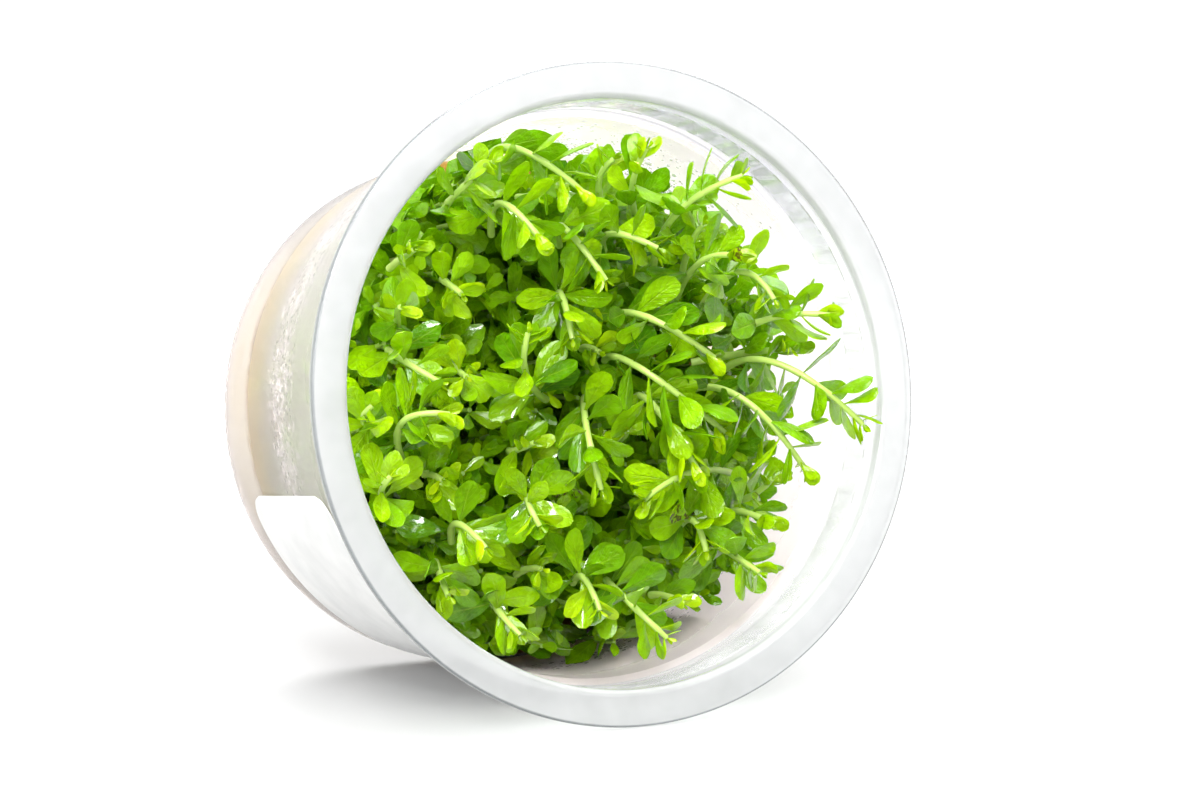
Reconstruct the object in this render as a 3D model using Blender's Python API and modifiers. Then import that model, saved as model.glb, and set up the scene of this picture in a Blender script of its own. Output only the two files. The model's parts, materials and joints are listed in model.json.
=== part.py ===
"""Open tissue culture cup of coin leaf rotala, lying on its side.

The pieces are a thin polypropylene cup with a wide flat rim, a paper label round its lower
wall, the jelly the plants grow on, the crowded lower growth, and one piece for each shoot
that rises from it to the mouth. All sizes below are millimetres in the cup's own frame:
the origin is the middle of the mouth, +Z points out of it, and +Y is up when the cup lies.
"""

import math

import bmesh
import bpy
from mathutils import Matrix, Vector
from mathutils.bvhtree import BVHTree

MM = 0.001
GAP = 0.3

# The cup
RIM_RADIUS = 52.5
LIP_RADIUS = 46.6
RIM_THICKNESS = 0.8
SKIRT_DEPTH = 1.5
SKIRT_THICKNESS = 0.8
EDGE_ROUND = 0.4
LEDGE_DEPTH = 14.0
LEDGE_STEP = 0.55
WALL = 0.8
CUP_DEPTH = 70.0
CORNER_ROUND = 3.0
BASE_RADIUS = 43.7
LEDGE_RADIUS = 46.23
FLOOR_THICKNESS = 1.0
FOOT_INNER_RADIUS = 37.0
FOOT_HEIGHT = 0.8
CUP_SIDES = 48
CORNER_STEPS = 3

# The label
LABEL_START_DEG = 197.0
LABEL_END_DEG = 303.0
LABEL_TOP = -20.0
LABEL_BOTTOM = -60.5
LABEL_THICKNESS = 0.15
LABEL_CORNER = 5.0
LABEL_CORNER_COLUMNS = 4
LABEL_STRAIGHT_COLUMNS = 12

# The jelly and the lower growth
GEL_TOP = -54.0
GEL_CORNER = 2.5
GROWTH_TOP = -20.0
GROWTH_SHOULDER = 6.0
GROWTH_WALL_GAP = 1.0
GROWTH_SIDES = 32

# The shoots
FOOT_Z = GROWTH_TOP + GAP
FRONT_LIMIT = 6.6
STEM_RADIUS_FOOT = 0.8
STEM_RADIUS_TIP = 0.55
STEM_SAMPLES = 40
STEM_HALF_SIDE = 0.9
STEM_STEP = 6.0
BEND_ABOVE_TIP = 3.0
NODE_HALF_HEIGHT = 0.5
NODES_FROM_TIP = (2.2, 7.2, 13.0)
LEAF_LENGTHS = (5.0, 8.0, 8.8)
LEAF_LIFTS_DEG = (48.0, 64.0, 72.0)
LEAF_WIDTH_SHARE = 0.50
LEAF_WIDEST_AT = 0.64
LEAF_TIP_SHARE = 0.45
LEAF_THICKNESS = 0.45
LEAF_FOOT_AT = 0.8
LEAF_FOOT_HALF_WIDTH = 0.5
WALL_CLEARANCE = 0.6
FOOT_CLEARANCE = 2.5
NEAR_LEAVES = 20.0
SIDEWAYS_FROM = Vector((0.37, 0.92, 0.12))

# What a leaf without room tries next: smaller, then tipped up or down, then turned
TRY_SIZES = (1.0, 0.8, 0.62)
TRY_TIPS_DEG = (0, -18, 14, -34)
TRY_TURNS_DEG = (0, 18, -18, 38, -38)

# name, foot (x, y) on the lower growth, knee (x, y, z), tip (x, y, z), turn of the first pair
SHOOTS = (
    ("top_tip", (-14, 35), (-14, 40, -9), (-4, 32, -3), 20),
    ("top_left", (-21, 31), (-22, 33, -12), (-19, 37, -4), 60),
    ("upper_stem", (-13, 27), (-16, 31, -8), (-12, 24, -2), 0),
    ("upper_arch", (-1, 25), (-5, 27, -9), (-1, 18, -3), 35),
    ("mid_arch", (-2, 16), (-6, 16, -9), (-7, 9, -4), 80),
    ("round_pair", (9, 28), (4, 34, -14), (5, 38, -10), 10),
    ("fork_tip", (14, 28), (8, 33, -10), (8, 39, -4), 50),
    ("upper_right", (16, 21), (15, 29, -8), (23, 34, 0), 45),
    ("right_crown", (21, 18), (20, 23, -15), (20, 27, -9), 0),
    ("inner_right", (7, 24), (4, 26, -10), (9, 23, -4), 70),
    ("right_bar", (20, 16), (19, 21, -8), (22, 21, -1), 15),
    ("right_bend", (23, 12), (25, 19, -8), (28, 14, -1), 60),
    ("far_right_up", (27, 7), (29, 11, -6), (37, 11, 1), 30),
    ("far_right", (26, 2), (30, 4, -6), (42, -7, 1), 75),
    ("spoon", (22, 5), (29, 6, -14), (33, 6, -5), 20),
    ("long_upper", (8, 13), (7, 12, -5), (17, 5, -2), 40),
    ("long_right", (18, -1), (22, -1, -5), (32, -14, -1), 10),
    ("long_mid", (6, 6), (5, 4, -4), (18, -7, -2), 65),
    ("mid_right", (11, -1), (8, -2, -7), (13, -13, -2), 30),
    ("cross_stem", (31, -15), (16, -13, -8), (3, -17, -2), 80),
    ("star", (-30, -10), (-36, -3, -6), (-30, -2, -1), 25),
    ("left_stem", (-32, 9), (-34, 7, -9), (-30, 3, -4), 50),
    ("left_cross", (-30, 11), (-34, 14, -10), (-35, 15, -6), 0),
    ("left_low", (-34, -15), (-39, -13, -8), (-39, -11, -4), 40),
    ("left_rim", (-35, -3), (-41, -2, -9), (-41, 0, -5), 85),
    ("crown", (-5, 0), (-14, 4, -7), (-16, 10, -1), 30),
    ("centre", (2, 0), (-4, -5, -7), (-4, -15, -3), 60),
    ("lower_mid", (-23, -22), (-25, -19, -12), (-23, -23, -6), 20),
    ("hang_mid", (-8, -16), (-15, -16, -7), (-15, -20, -3), 45),
    ("lower_left", (-26, -25), (-28, -27, -13), (-29, -30, -8), 70),
    ("bottom_left", (-16, -32), (-19, -33, -12), (-18, -37, -6), 35),
    ("bottom_mid", (-2, -30), (-5, -29, -9), (-5, -34, -4), 10),
    ("bottom_right", (4, -30), (1, -33, -6), (5, -39, -1), 55),
    ("low_right", (17, -23), (15, -21, -9), (15, -26, -5), 80),
    ("right_round", (25, -21), (25, -20, -12), (27, -22, -5), 15),
    ("right_bright", (24, -25), (22, -27, -9), (23, -30, -2), 50),
    ("right_leaf", (27, -18), (28, -18, -14), (29, -15, -7), 30),
    ("deep_left", (-22, 20), (-23, 19, -15), (-23, 17, -10), 40),
    ("deep_upper", (-8, 33), (-7, 33, -16), (-6, 34, -12), 10),
    ("deep_middle", (-21, 6), (-22, 5, -15), (-23, 4, -10), 75),
    ("deep_centre", (-12, -8), (-13, -8, -15), (-12, -7, -10), 20),
    ("deep_lower", (-27, -11), (-28, -11, -15), (-28, -12, -10), 60),
    ("deep_right", (6, -8), (6, -7, -15), (5, -6, -11), 35),
    ("deep_bottom", (-12, -28), (-12, -27, -15), (-12, -27, -10), 85),
    ("deep_bottom_right", (12, -33), (12, -33, -15), (13, -34, -11), 15),
    ("deep_top", (2, 8), (1, 8, -15), (1, 7, -11), 50),
    ("deep_far_left", (-31, 22), (-31, 23, -15), (-31, 24, -9), 25),
)

# sRGB hex, roughness, alpha
FINISHES = {
    "polypropylene": ("EDF1F0", 0.25, 0.35),
    "label_paper": ("FAFAF8", 0.45, 1.0),
    "nutrient_gel": ("E6DCC6", 0.2, 0.8),
    "lower_growth": ("3E7A0C", 0.55, 1.0),
    "rotala": ("86BD12", 0.35, 1.0),
}


def linear(byte):
    share = byte / 255
    if share <= 0.04045:
        return share / 12.92
    return ((share + 0.055) / 1.055) ** 2.4


def finish(name):
    """The Principled material of that name, made once."""
    found = bpy.data.materials.get(name)
    if found:
        return found
    code, roughness, alpha = FINISHES[name]
    material = bpy.data.materials.new(name)
    material.use_nodes = True
    shader = material.node_tree.nodes["Principled BSDF"]
    colour = [linear(int(code[i:i + 2], 16)) for i in (0, 2, 4)]
    shader.inputs["Base Color"].default_value = (*colour, 1.0)
    shader.inputs["Roughness"].default_value = roughness
    shader.inputs["Metallic"].default_value = 0.0
    shader.inputs["Alpha"].default_value = alpha
    return material


def outer_radius(z):
    """The wall's outer radius below the ledge."""
    slope = (LEDGE_RADIUS - BASE_RADIUS) / (CUP_DEPTH - CORNER_ROUND - LEDGE_DEPTH)
    return BASE_RADIUS + (z + CUP_DEPTH - CORNER_ROUND) * slope


def inner_radius(z):
    if z < -LEDGE_DEPTH:
        return outer_radius(z) - WALL
    return LIP_RADIUS


def arc(centre_r, centre_z, radius, start_deg, end_deg, steps):
    """Profile points on a round edge, from one angle to the other."""
    points = []
    for i in range(steps + 1):
        angle = math.radians(start_deg + (end_deg - start_deg) * i / steps)
        points.append((centre_r + radius * math.cos(angle), centre_z + radius * math.sin(angle)))
    return points


def body_profile():
    """The outer side of the cup's body, from the ledge to the foot."""
    centre_r = BASE_RADIUS - CORNER_ROUND
    centre_z = -CUP_DEPTH + CORNER_ROUND
    corner = arc(centre_r, centre_z, CORNER_ROUND, 0, -90, CORNER_STEPS)
    return [(LEDGE_RADIUS, -LEDGE_DEPTH)] + corner


def lying_angle():
    """How far the mouth tips up when the rim's skirt and the base's corner both touch the floor."""
    return min(
        math.atan2(RIM_RADIUS - r, -SKIRT_DEPTH - z)
        for r, z in body_profile()
    )


def cup_profile():
    """Inside floor, inner wall, rim and outer wall, so that the outer side runs down."""
    floor_z = -CUP_DEPTH + FOOT_HEIGHT + FLOOR_THICKNESS
    inner_corner = CORNER_ROUND - WALL
    wall_foot_z = floor_z + inner_corner
    corner = arc(inner_radius(wall_foot_z) - inner_corner, wall_foot_z, inner_corner, -90, 0, 2)
    ledge_outer = LIP_RADIUS + WALL
    profile = [(0.0, floor_z)] + corner
    profile.append((inner_radius(-LEDGE_DEPTH - 0.1), -LEDGE_DEPTH - 0.1))
    profile.append((LIP_RADIUS, -LEDGE_DEPTH + LEDGE_STEP))
    profile.append((LIP_RADIUS, -EDGE_ROUND))
    profile.append((LIP_RADIUS + EDGE_ROUND, 0.0))
    profile.append((RIM_RADIUS - EDGE_ROUND, 0.0))
    profile.append((RIM_RADIUS, -EDGE_ROUND))
    profile.append((RIM_RADIUS, -SKIRT_DEPTH))
    profile.append((RIM_RADIUS - SKIRT_THICKNESS, -SKIRT_DEPTH))
    profile.append((RIM_RADIUS - SKIRT_THICKNESS, -RIM_THICKNESS))
    profile.append((ledge_outer, -RIM_THICKNESS))
    profile.append((ledge_outer, -LEDGE_DEPTH + LEDGE_STEP))
    profile += body_profile()
    profile.append((FOOT_INNER_RADIUS, -CUP_DEPTH))
    profile.append((FOOT_INNER_RADIUS - FOOT_HEIGHT, -CUP_DEPTH + FOOT_HEIGHT))
    profile.append((0.0, -CUP_DEPTH + FOOT_HEIGHT))
    return profile


def finished(name, mesh, material, parent, collection):
    """An object of the part, placed in the cup's frame."""
    made = bpy.data.objects.new(name, mesh)
    collection.objects.link(made)
    made.parent = parent
    mesh.materials.append(finish(material))
    return made


def turned(name, profile, sides, material, parent, collection):
    """A turned piece with a flat side, and not an edge, towards the floor."""
    flat = 1 / math.cos(math.pi / sides)
    mesh = bpy.data.meshes.new(name)
    points = [(r * flat * MM, 0.0, z * MM) for r, z in profile]
    mesh.from_pydata(points, [(i, i + 1) for i in range(len(points) - 1)], [])
    made = finished(name, mesh, material, parent, collection)
    made.rotation_euler.z = math.pi / sides
    screw = made.modifiers.new("turn", "SCREW")
    screw.steps = sides
    screw.render_steps = sides
    screw.use_merge_vertices = True
    screw.merge_threshold = 0.00001
    screw.use_smooth_shade = True
    return made


def make_cup(parent, collection):
    turned("cup", cup_profile(), CUP_SIDES, "polypropylene", parent, collection)


def make_gel(parent, collection):
    floor_z = -CUP_DEPTH + FOOT_HEIGHT + FLOOR_THICKNESS + GAP
    wall_foot_z = floor_z + GEL_CORNER
    foot_r = inner_radius(wall_foot_z) - GAP
    profile = [(0.0, GEL_TOP), (inner_radius(GEL_TOP) - GAP, GEL_TOP)]
    profile += arc(foot_r - GEL_CORNER, wall_foot_z, GEL_CORNER, 0, -90, 2)
    profile.append((0.0, floor_z))
    turned("gel", profile, CUP_SIDES, "nutrient_gel", parent, collection)


def make_lower_growth(parent, collection):
    foot_z = GEL_TOP + GAP
    side_z = GROWTH_TOP - GROWTH_SHOULDER
    profile = [
        (0.0, GROWTH_TOP),
        (inner_radius(side_z) - GROWTH_WALL_GAP - GROWTH_SHOULDER, GROWTH_TOP),
        (inner_radius(side_z) - GROWTH_WALL_GAP, side_z),
        (inner_radius(foot_z) - GROWTH_WALL_GAP, foot_z),
        (0.0, foot_z),
    ]
    turned("lower_growth", profile, GROWTH_SIDES, "lower_growth", parent, collection)


def make_label(parent, collection):
    """A sheet with rounded corners, wrapped on the cone of the wall."""
    flat = 1 / math.cos(math.pi / CUP_SIDES)
    turn = math.radians(LABEL_END_DEG - LABEL_START_DEG)
    corner_turn = LABEL_CORNER / outer_radius((LABEL_TOP + LABEL_BOTTOM) / 2)
    corner = []
    for i in range(LABEL_CORNER_COLUMNS):
        angle = math.radians(90 * i / LABEL_CORNER_COLUMNS)
        corner.append(((1 - math.cos(angle)) * corner_turn, LABEL_CORNER * (1 - math.sin(angle))))
    columns = list(corner)
    for i in range(LABEL_STRAIGHT_COLUMNS + 1):
        share = i / LABEL_STRAIGHT_COLUMNS
        columns.append((corner_turn + (turn - 2 * corner_turn) * share, 0.0))
    columns += [(turn - angle_on, cut) for angle_on, cut in reversed(corner)]
    bm = bmesh.new()
    bmesh.ops.create_grid(bm, x_segments=len(columns) - 1, y_segments=1, size=1.0)
    for vertex in bm.verts:
        column = round((vertex.co.x + 1) / 2 * (len(columns) - 1))
        angle_on, cut = columns[column]
        z = LABEL_TOP - cut if vertex.co.y > 0 else LABEL_BOTTOM + cut
        radius = (outer_radius(z) + GAP) * flat
        angle = math.radians(LABEL_START_DEG) + angle_on
        vertex.co = Vector((radius * math.cos(angle), radius * math.sin(angle), z)) * MM
    bmesh.ops.recalc_face_normals(bm, faces=bm.faces)
    mesh = bpy.data.meshes.new("label")
    bm.to_mesh(mesh)
    bm.free()
    made = finished("label", mesh, "label_paper", parent, collection)
    sheet = made.modifiers.new("paper", "SOLIDIFY")
    sheet.thickness = LABEL_THICKNESS * MM
    outward = mesh.polygons[0].normal.dot(mesh.polygons[0].center * Vector((1, 1, 0))) > 0
    sheet.offset = 1.0 if outward else -1.0


class Leaf:
    """One leaf of a pair: where it leaves the stem, where it points, and its size."""

    def __init__(self, shoot, node, side, base, direction, across, length):
        self.shoot = shoot
        self.node = node
        self.side = side
        self.base = base
        self.direction = direction
        self.across = across
        self.length = length

    def outline(self, spare=0.0):
        """Corners of the blade as a thin closed box, made larger by the spare."""
        half = LEAF_THICKNESS / 2 + spare
        up = self.across.cross(self.direction)
        width = self.length * LEAF_WIDTH_SHARE / 2
        rows = (
            (LEAF_FOOT_AT, LEAF_FOOT_HALF_WIDTH + spare),
            (self.length * LEAF_WIDEST_AT, width + spare),
            (self.length + spare, width * LEAF_TIP_SHARE + spare),
        )
        corners = []
        for along, wide in rows:
            middle = self.base + self.direction * along
            for a, b in ((-1, -1), (1, -1), (1, 1), (-1, 1)):
                corners.append(middle + self.across * (a * wide) + up * (b * half))
        return corners

    def tree(self, spare=0.0):
        quads = [(0, 1, 2, 3), (8, 11, 10, 9)]
        for row in (0, 4):
            for i in range(4):
                j = (i + 1) % 4
                quads.append((row + i, row + j, row + 4 + j, row + 4 + i))
        return BVHTree.FromPolygons(self.outline(spare), quads)


class Shoot:
    """A stem from its foot through its knee to its tip, with pairs of leaves crossing in turn."""

    def __init__(self, name, foot, knee, tip, turn):
        self.name = name
        start = Vector((*foot, FOOT_Z))
        end = Vector(tip)
        bend = Vector(knee) * 2 - (start + end) / 2
        bend.z = min(bend.z, end.z + BEND_ABOVE_TIP)
        self.points = []
        for i in range(STEM_SAMPLES + 1):
            t = i / STEM_SAMPLES
            self.points.append(start * (1 - t) ** 2 + bend * (2 * t * (1 - t)) + end * t ** 2)
        self.reach = [0.0]
        for a, b in zip(self.points, self.points[1:]):
            self.reach.append(self.reach[-1] + (b - a).length)
        self.turn = math.radians(turn)
        self.nodes = [
            self.reach[-1] - back
            for back in NODES_FROM_TIP
            if self.reach[-1] - back > FOOT_CLEARANCE
        ]
        self.leaves = []

    def at(self, distance):
        """The stem's middle and direction at a distance from the foot."""
        distance = min(max(distance, 0.0), self.reach[-1])
        i = 0
        while i < STEM_SAMPLES - 1 and self.reach[i + 1] < distance:
            i += 1
        share = (distance - self.reach[i]) / (self.reach[i + 1] - self.reach[i])
        place = self.points[i].lerp(self.points[i + 1], share)
        return place, (self.points[i + 1] - self.points[i]).normalized()

    def side(self, node, quarter):
        """A sideways direction at a node: it turns a quarter from one pair to the next."""
        _, along = self.at(self.nodes[node])
        level = along.cross(SIDEWAYS_FROM).normalized()
        turn = self.turn + math.radians(90) * (node + quarter)
        return Matrix.Rotation(turn, 3, along) @ level

    def radius(self, distance):
        share = distance / self.reach[-1]
        return STEM_RADIUS_FOOT + (STEM_RADIUS_TIP - STEM_RADIUS_FOOT) * share

    def stops(self):
        """Where the stem has a section, the node it turns with, and if a node ends there."""
        last = len(self.nodes) - 1
        first_node = self.nodes[last] - NODE_HALF_HEIGHT
        steps = math.ceil(first_node / STEM_STEP)
        stops = [(first_node * i / steps, last, False) for i in range(steps)]
        for node in reversed(range(last + 1)):
            stops.append((self.nodes[node] - NODE_HALF_HEIGHT, node, False))
            stops.append((self.nodes[node] + NODE_HALF_HEIGHT, node, True))
        return stops + [(self.reach[-1], 0, False)]

    def tree(self, spare):
        """A square tube round the stem."""
        corners = []
        quads = []
        for i, (distance, _, _) in enumerate(self.stops()):
            place, along = self.at(distance)
            a = along.cross(SIDEWAYS_FROM).normalized()
            b = along.cross(a)
            wide = self.radius(distance) + spare
            for u, v in ((-1, -1), (1, -1), (1, 1), (-1, 1)):
                corners.append(place + a * (u * wide) + b * (v * wide))
            if i:
                for k in range(4):
                    j = (k + 1) % 4
                    row = 4 * (i - 1)
                    quads.append((row + k, row + j, row + 4 + j, row + 4 + k))
        return BVHTree.FromPolygons(corners, quads)


def fits_in_cup(leaf):
    """True if the leaf stays clear of the wall, the lower growth and the plane before the rim."""
    lean = lying_angle()
    for corner in leaf.outline(GAP):
        if math.hypot(corner.x, corner.y) > inner_radius(corner.z) - WALL_CLEARANCE:
            return False
        if corner.z < GROWTH_TOP + GAP:
            return False
        if corner.z * math.cos(lean) - corner.y * math.sin(lean) > FRONT_LIMIT:
            return False
    return True


def leaf_tries(node):
    """Turn, lift and size of a leaf, from the natural one to ones that squeeze in."""
    for size in TRY_SIZES:
        for tip in TRY_TIPS_DEG:
            for turn in TRY_TURNS_DEG:
                yield math.radians(turn), math.radians(LEAF_LIFTS_DEG[node] + tip), size


def place_leaf(shoots, number, node, side, stems, placed):
    """The first try of a leaf that touches nothing, or nothing if none has room."""
    shoot = shoots[number]
    middle, along = shoot.at(shoot.nodes[node])
    out = shoot.side(node, side)
    for turn, lift, size in leaf_tries(node):
        turned_out = Matrix.Rotation(turn, 3, along) @ out
        direction = (along * math.cos(lift) + turned_out * math.sin(lift)).normalized()
        across = along.cross(turned_out).normalized()
        leaf = Leaf(number, node, side, middle, direction, across, LEAF_LENGTHS[node] * size)
        if not fits_in_cup(leaf):
            continue
        tree = leaf.tree(GAP)
        if any(tree.overlap(stem) for i, stem in enumerate(stems) if i != number):
            continue
        near = (
            other_tree
            for other, other_tree in placed
            if (other.base - leaf.base).length < NEAR_LEAVES
        )
        if any(tree.overlap(other_tree) for other_tree in near):
            continue
        return leaf
    return None


def plan_shoots():
    """The shoots with every leaf that has room, the tips' leaves first."""
    shoots = [Shoot(*row) for row in SHOOTS]
    stems = [shoot.tree(GAP) for shoot in shoots]
    placed = []
    for back in range(len(NODES_FROM_TIP)):
        for number, shoot in enumerate(shoots):
            if back >= len(shoot.nodes):
                continue
            pair = []
            for side in (0, 2):
                leaf = place_leaf(shoots, number, back, side, stems, placed)
                if leaf:
                    pair.append(leaf)
            for leaf in pair:
                shoot.leaves.append(leaf)
                placed.append((leaf, leaf.tree()))
    return shoots


def ring(bm, place, along, out, radius):
    """The four corners of the stem's square section, with a face towards the leaf's side."""
    sideways = along.cross(out).normalized()
    half = radius * STEM_HALF_SIDE
    corners = []
    for a, b in ((-1, -1), (1, -1), (1, 1), (-1, 1)):
        corners.append(bm.verts.new((place + out * (a * half) + sideways * (b * half)) * MM))
    return corners


def bridge(bm, low, high):
    """The four walls between two sections."""
    return [
        bm.faces.new((low[i], low[(i + 1) % 4], high[(i + 1) % 4], high[i]))
        for i in range(4)
    ]


def grow_leaf(bm, walls, leaf, along):
    """Draws a wall of the stem out into a thin blade, in two steps."""
    middle = leaf.base * MM
    wall = max(walls, key=lambda face: (face.calc_center_median() - middle).dot(leaf.direction))
    walls.remove(wall)
    up = leaf.across.cross(leaf.direction)
    if up.dot(along) < 0:
        up = -up
    width = leaf.length * LEAF_WIDTH_SHARE / 2
    for share, wide in ((LEAF_WIDEST_AT, width), (1.0, width * LEAF_TIP_SHARE)):
        centre = wall.calc_center_median()
        signs = []
        for vertex in wall.verts:
            off = vertex.co - centre
            signs.append((
                math.copysign(1, off.dot(leaf.across)),
                math.copysign(1, off.dot(along if share < 1 else up)),
            ))
        wall = bmesh.ops.extrude_discrete_faces(bm, faces=[wall])["faces"][0]
        target = leaf.base + leaf.direction * (leaf.length * share)
        for vertex, (a, b) in zip(wall.verts, signs):
            corner = target + leaf.across * (a * wide) + up * (b * LEAF_THICKNESS / 2)
            vertex.co = corner * MM


def make_shoot(shoot, parent, collection):
    """Square sections from a level foot to the tip, with the leaves drawn out of the walls."""
    bm = bmesh.new()
    before = None
    for distance, node, closes_node in shoot.stops():
        place, along = shoot.at(distance)
        if before is None:
            along = Vector((0, 0, 1))
        out = shoot.side(node, 0)
        out = (out - along * out.dot(along)).normalized()
        if node % 2:
            out = along.cross(out)
        now = ring(bm, place, along, out, shoot.radius(distance))
        if before is None:
            bm.faces.new(list(reversed(now)))
        else:
            walls = bridge(bm, before, now)
            if closes_node:
                for leaf in shoot.leaves:
                    if leaf.node == node:
                        grow_leaf(bm, walls, leaf, along)
        before = now
    bm.faces.new(before)
    bmesh.ops.recalc_face_normals(bm, faces=bm.faces)
    bmesh.ops.triangulate(bm, faces=bm.faces)
    name = "shoot_" + shoot.name
    mesh = bpy.data.meshes.new(name)
    bm.to_mesh(mesh)
    bm.free()
    finished(name, mesh, "rotala", parent, collection)


def lying_place():
    """Rotation and place that lay the cup on the floor with its footprint centred on the origin."""
    lean = lying_angle()
    rim_height = RIM_RADIUS * math.cos(lean) + SKIRT_DEPTH * math.sin(lean)
    front = -RIM_RADIUS * math.sin(lean)
    back = max(
        r * math.sin(lean) - z * math.cos(lean)
        for r, z in body_profile()
    )
    place = Vector((0.0, -(front + back) / 2, rim_height)) * MM
    return Matrix.Translation(place) @ Matrix.Rotation(math.pi / 2 - lean, 4, "X")


def main():
    for old in list(bpy.data.objects):
        bpy.data.objects.remove(old)
    collection = bpy.data.collections.new("coin_leaf_rotala_cup")
    bpy.context.scene.collection.children.link(collection)
    axis = bpy.data.objects.new("cup_axis", None)
    collection.objects.link(axis)
    axis.matrix_world = lying_place()
    make_cup(axis, collection)
    make_label(axis, collection)
    make_gel(axis, collection)
    make_lower_growth(axis, collection)
    for shoot in plan_shoots():
        make_shoot(shoot, axis, collection)


if __name__ == "__main__":
    main()
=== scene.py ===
"""Looks of an open tissue culture cup of coin leaf rotala, lying on its side.

The packed CAD model gives the cup's place and each shoot's node. Each operator makes one group of
pieces in the cup's own frame: the origin in the middle of the mouth, +Z out of it, and sizes in
millimetres, which the meshes turn to metres.
"""

import json
import math
import random

import bmesh
import bpy
from bpy.props import FloatProperty, FloatVectorProperty, IntProperty, PointerProperty
from mathutils import Matrix, Vector
from mathutils.bvhtree import BVHTree


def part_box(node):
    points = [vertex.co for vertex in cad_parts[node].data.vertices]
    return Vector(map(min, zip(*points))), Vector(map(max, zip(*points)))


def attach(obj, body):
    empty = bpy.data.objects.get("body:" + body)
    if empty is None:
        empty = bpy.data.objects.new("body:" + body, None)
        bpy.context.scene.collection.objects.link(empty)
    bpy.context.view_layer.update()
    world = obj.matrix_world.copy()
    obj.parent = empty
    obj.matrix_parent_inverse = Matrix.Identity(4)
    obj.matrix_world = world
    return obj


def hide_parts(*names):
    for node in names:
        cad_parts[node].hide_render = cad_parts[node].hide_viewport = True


bl_info = {
    "name": "Coin Leaf Rotala Cup",
    "version": (1, 0, 0),
    "blender": (4, 5, 0),
    "location": "3D View > Sidebar > Rotala Cup",
    "description": "Makes a clear culture cup with its label, gel, droplets and rotala shoots",
    "category": "Add Mesh",
}

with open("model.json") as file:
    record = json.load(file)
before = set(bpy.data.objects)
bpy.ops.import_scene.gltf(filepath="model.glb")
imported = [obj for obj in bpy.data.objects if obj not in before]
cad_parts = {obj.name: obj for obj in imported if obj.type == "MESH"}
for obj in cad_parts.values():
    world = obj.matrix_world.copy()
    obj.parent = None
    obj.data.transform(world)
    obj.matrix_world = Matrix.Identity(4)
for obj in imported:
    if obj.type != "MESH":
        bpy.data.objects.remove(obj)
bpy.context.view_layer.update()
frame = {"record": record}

MM = 0.001
GAP = 0.3

# The cup, as in the CAD model
RIM_RADIUS = 52.5
LIP_RADIUS = 46.6
RIM_THICKNESS = 0.8
SKIRT_DEPTH = 1.5
SKIRT_THICKNESS = 0.8
LEDGE_DEPTH = 14.0
LEDGE_STEP = 0.55
WALL = 0.8
CUP_DEPTH = 70.0
CORNER_ROUND = 3.0
BASE_RADIUS = 43.7
LEDGE_RADIUS = 46.23
FLOOR_THICKNESS = 1.0
FOOT_INNER_RADIUS = 37.0
FOOT_HEIGHT = 0.8
CUP_SIDES = 288
SHADOW_TINT = "E9EBEA"

# The label
LABEL_START_DEG = 197.0
LABEL_END_DEG = 303.0
LABEL_TOP = -20.0
LABEL_BOTTOM = -60.5
LABEL_CORNER = 5.0

# The gel and the lower growth
GEL_TOP = -54.0
GEL_CORNER = 2.5
GROWTH_TOP = -20.0
GROWTH_WALL_GAP = 1.0

# The shoots, as in the CAD model
FOOT_Z = GROWTH_TOP + GAP
FRONT_LIMIT = 6.6
STEM_RADIUS_FOOT = 0.8
STEM_RADIUS_TIP = 0.55
STEM_SAMPLES = 40
STEM_STEP = 6.0
BEND_ABOVE_TIP = 3.0
NODE_HALF_HEIGHT = 0.5
NODES_FROM_TIP = (2.2, 7.2, 13.0)
LEAF_LENGTHS = (5.0, 8.0, 8.8)
LEAF_LIFTS_DEG = (48.0, 64.0, 72.0)
LEAF_WIDTH_SHARE = 0.50
LEAF_WIDEST_AT = 0.64
LEAF_TIP_SHARE = 0.45
LEAF_THICKNESS = 0.45
LEAF_FOOT_AT = 0.8
LEAF_FOOT_HALF_WIDTH = 0.5
WALL_CLEARANCE = 0.6
FOOT_CLEARANCE = 2.5
NEAR_LEAVES = 20.0
SIDEWAYS_FROM = Vector((0.37, 0.92, 0.12))
TRY_SIZES = (1.0, 0.8, 0.62)
TRY_TIPS_DEG = (0, -18, 14, -34)
TRY_TURNS_DEG = (0, 18, -18, 38, -38)

# Details that the CAD model leaves out
COLLAR_BEADS = (-4.5, -10.5)
BEAD_HALF_HEIGHT = 0.3
BEAD_RISE = 0.12
LIP_ROUND = 1.1
RIM_ROUND = 0.5
SKIRT_ROOT_ROUND = 0.2
LEDGE_INNER_ROUND = 0.35
LEDGE_OUTER_ROUND = 0.4
LEDGE_ROOT_ROUND = 0.3
FOOT_ROUND = 0.3
LABEL_OFF_WALL = 0.12
GEL_OFF_WALL = 0.12
DROP_OFF_WALL = 0.03
WET_BAND_MIDDLE = -36.0
WET_BAND_SPREAD = 3.5
# The fog's patches add 4.5 mm on average to the depth that its band is found by
WET_BAND_FOG = WET_BAND_MIDDLE + 4.5
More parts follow.
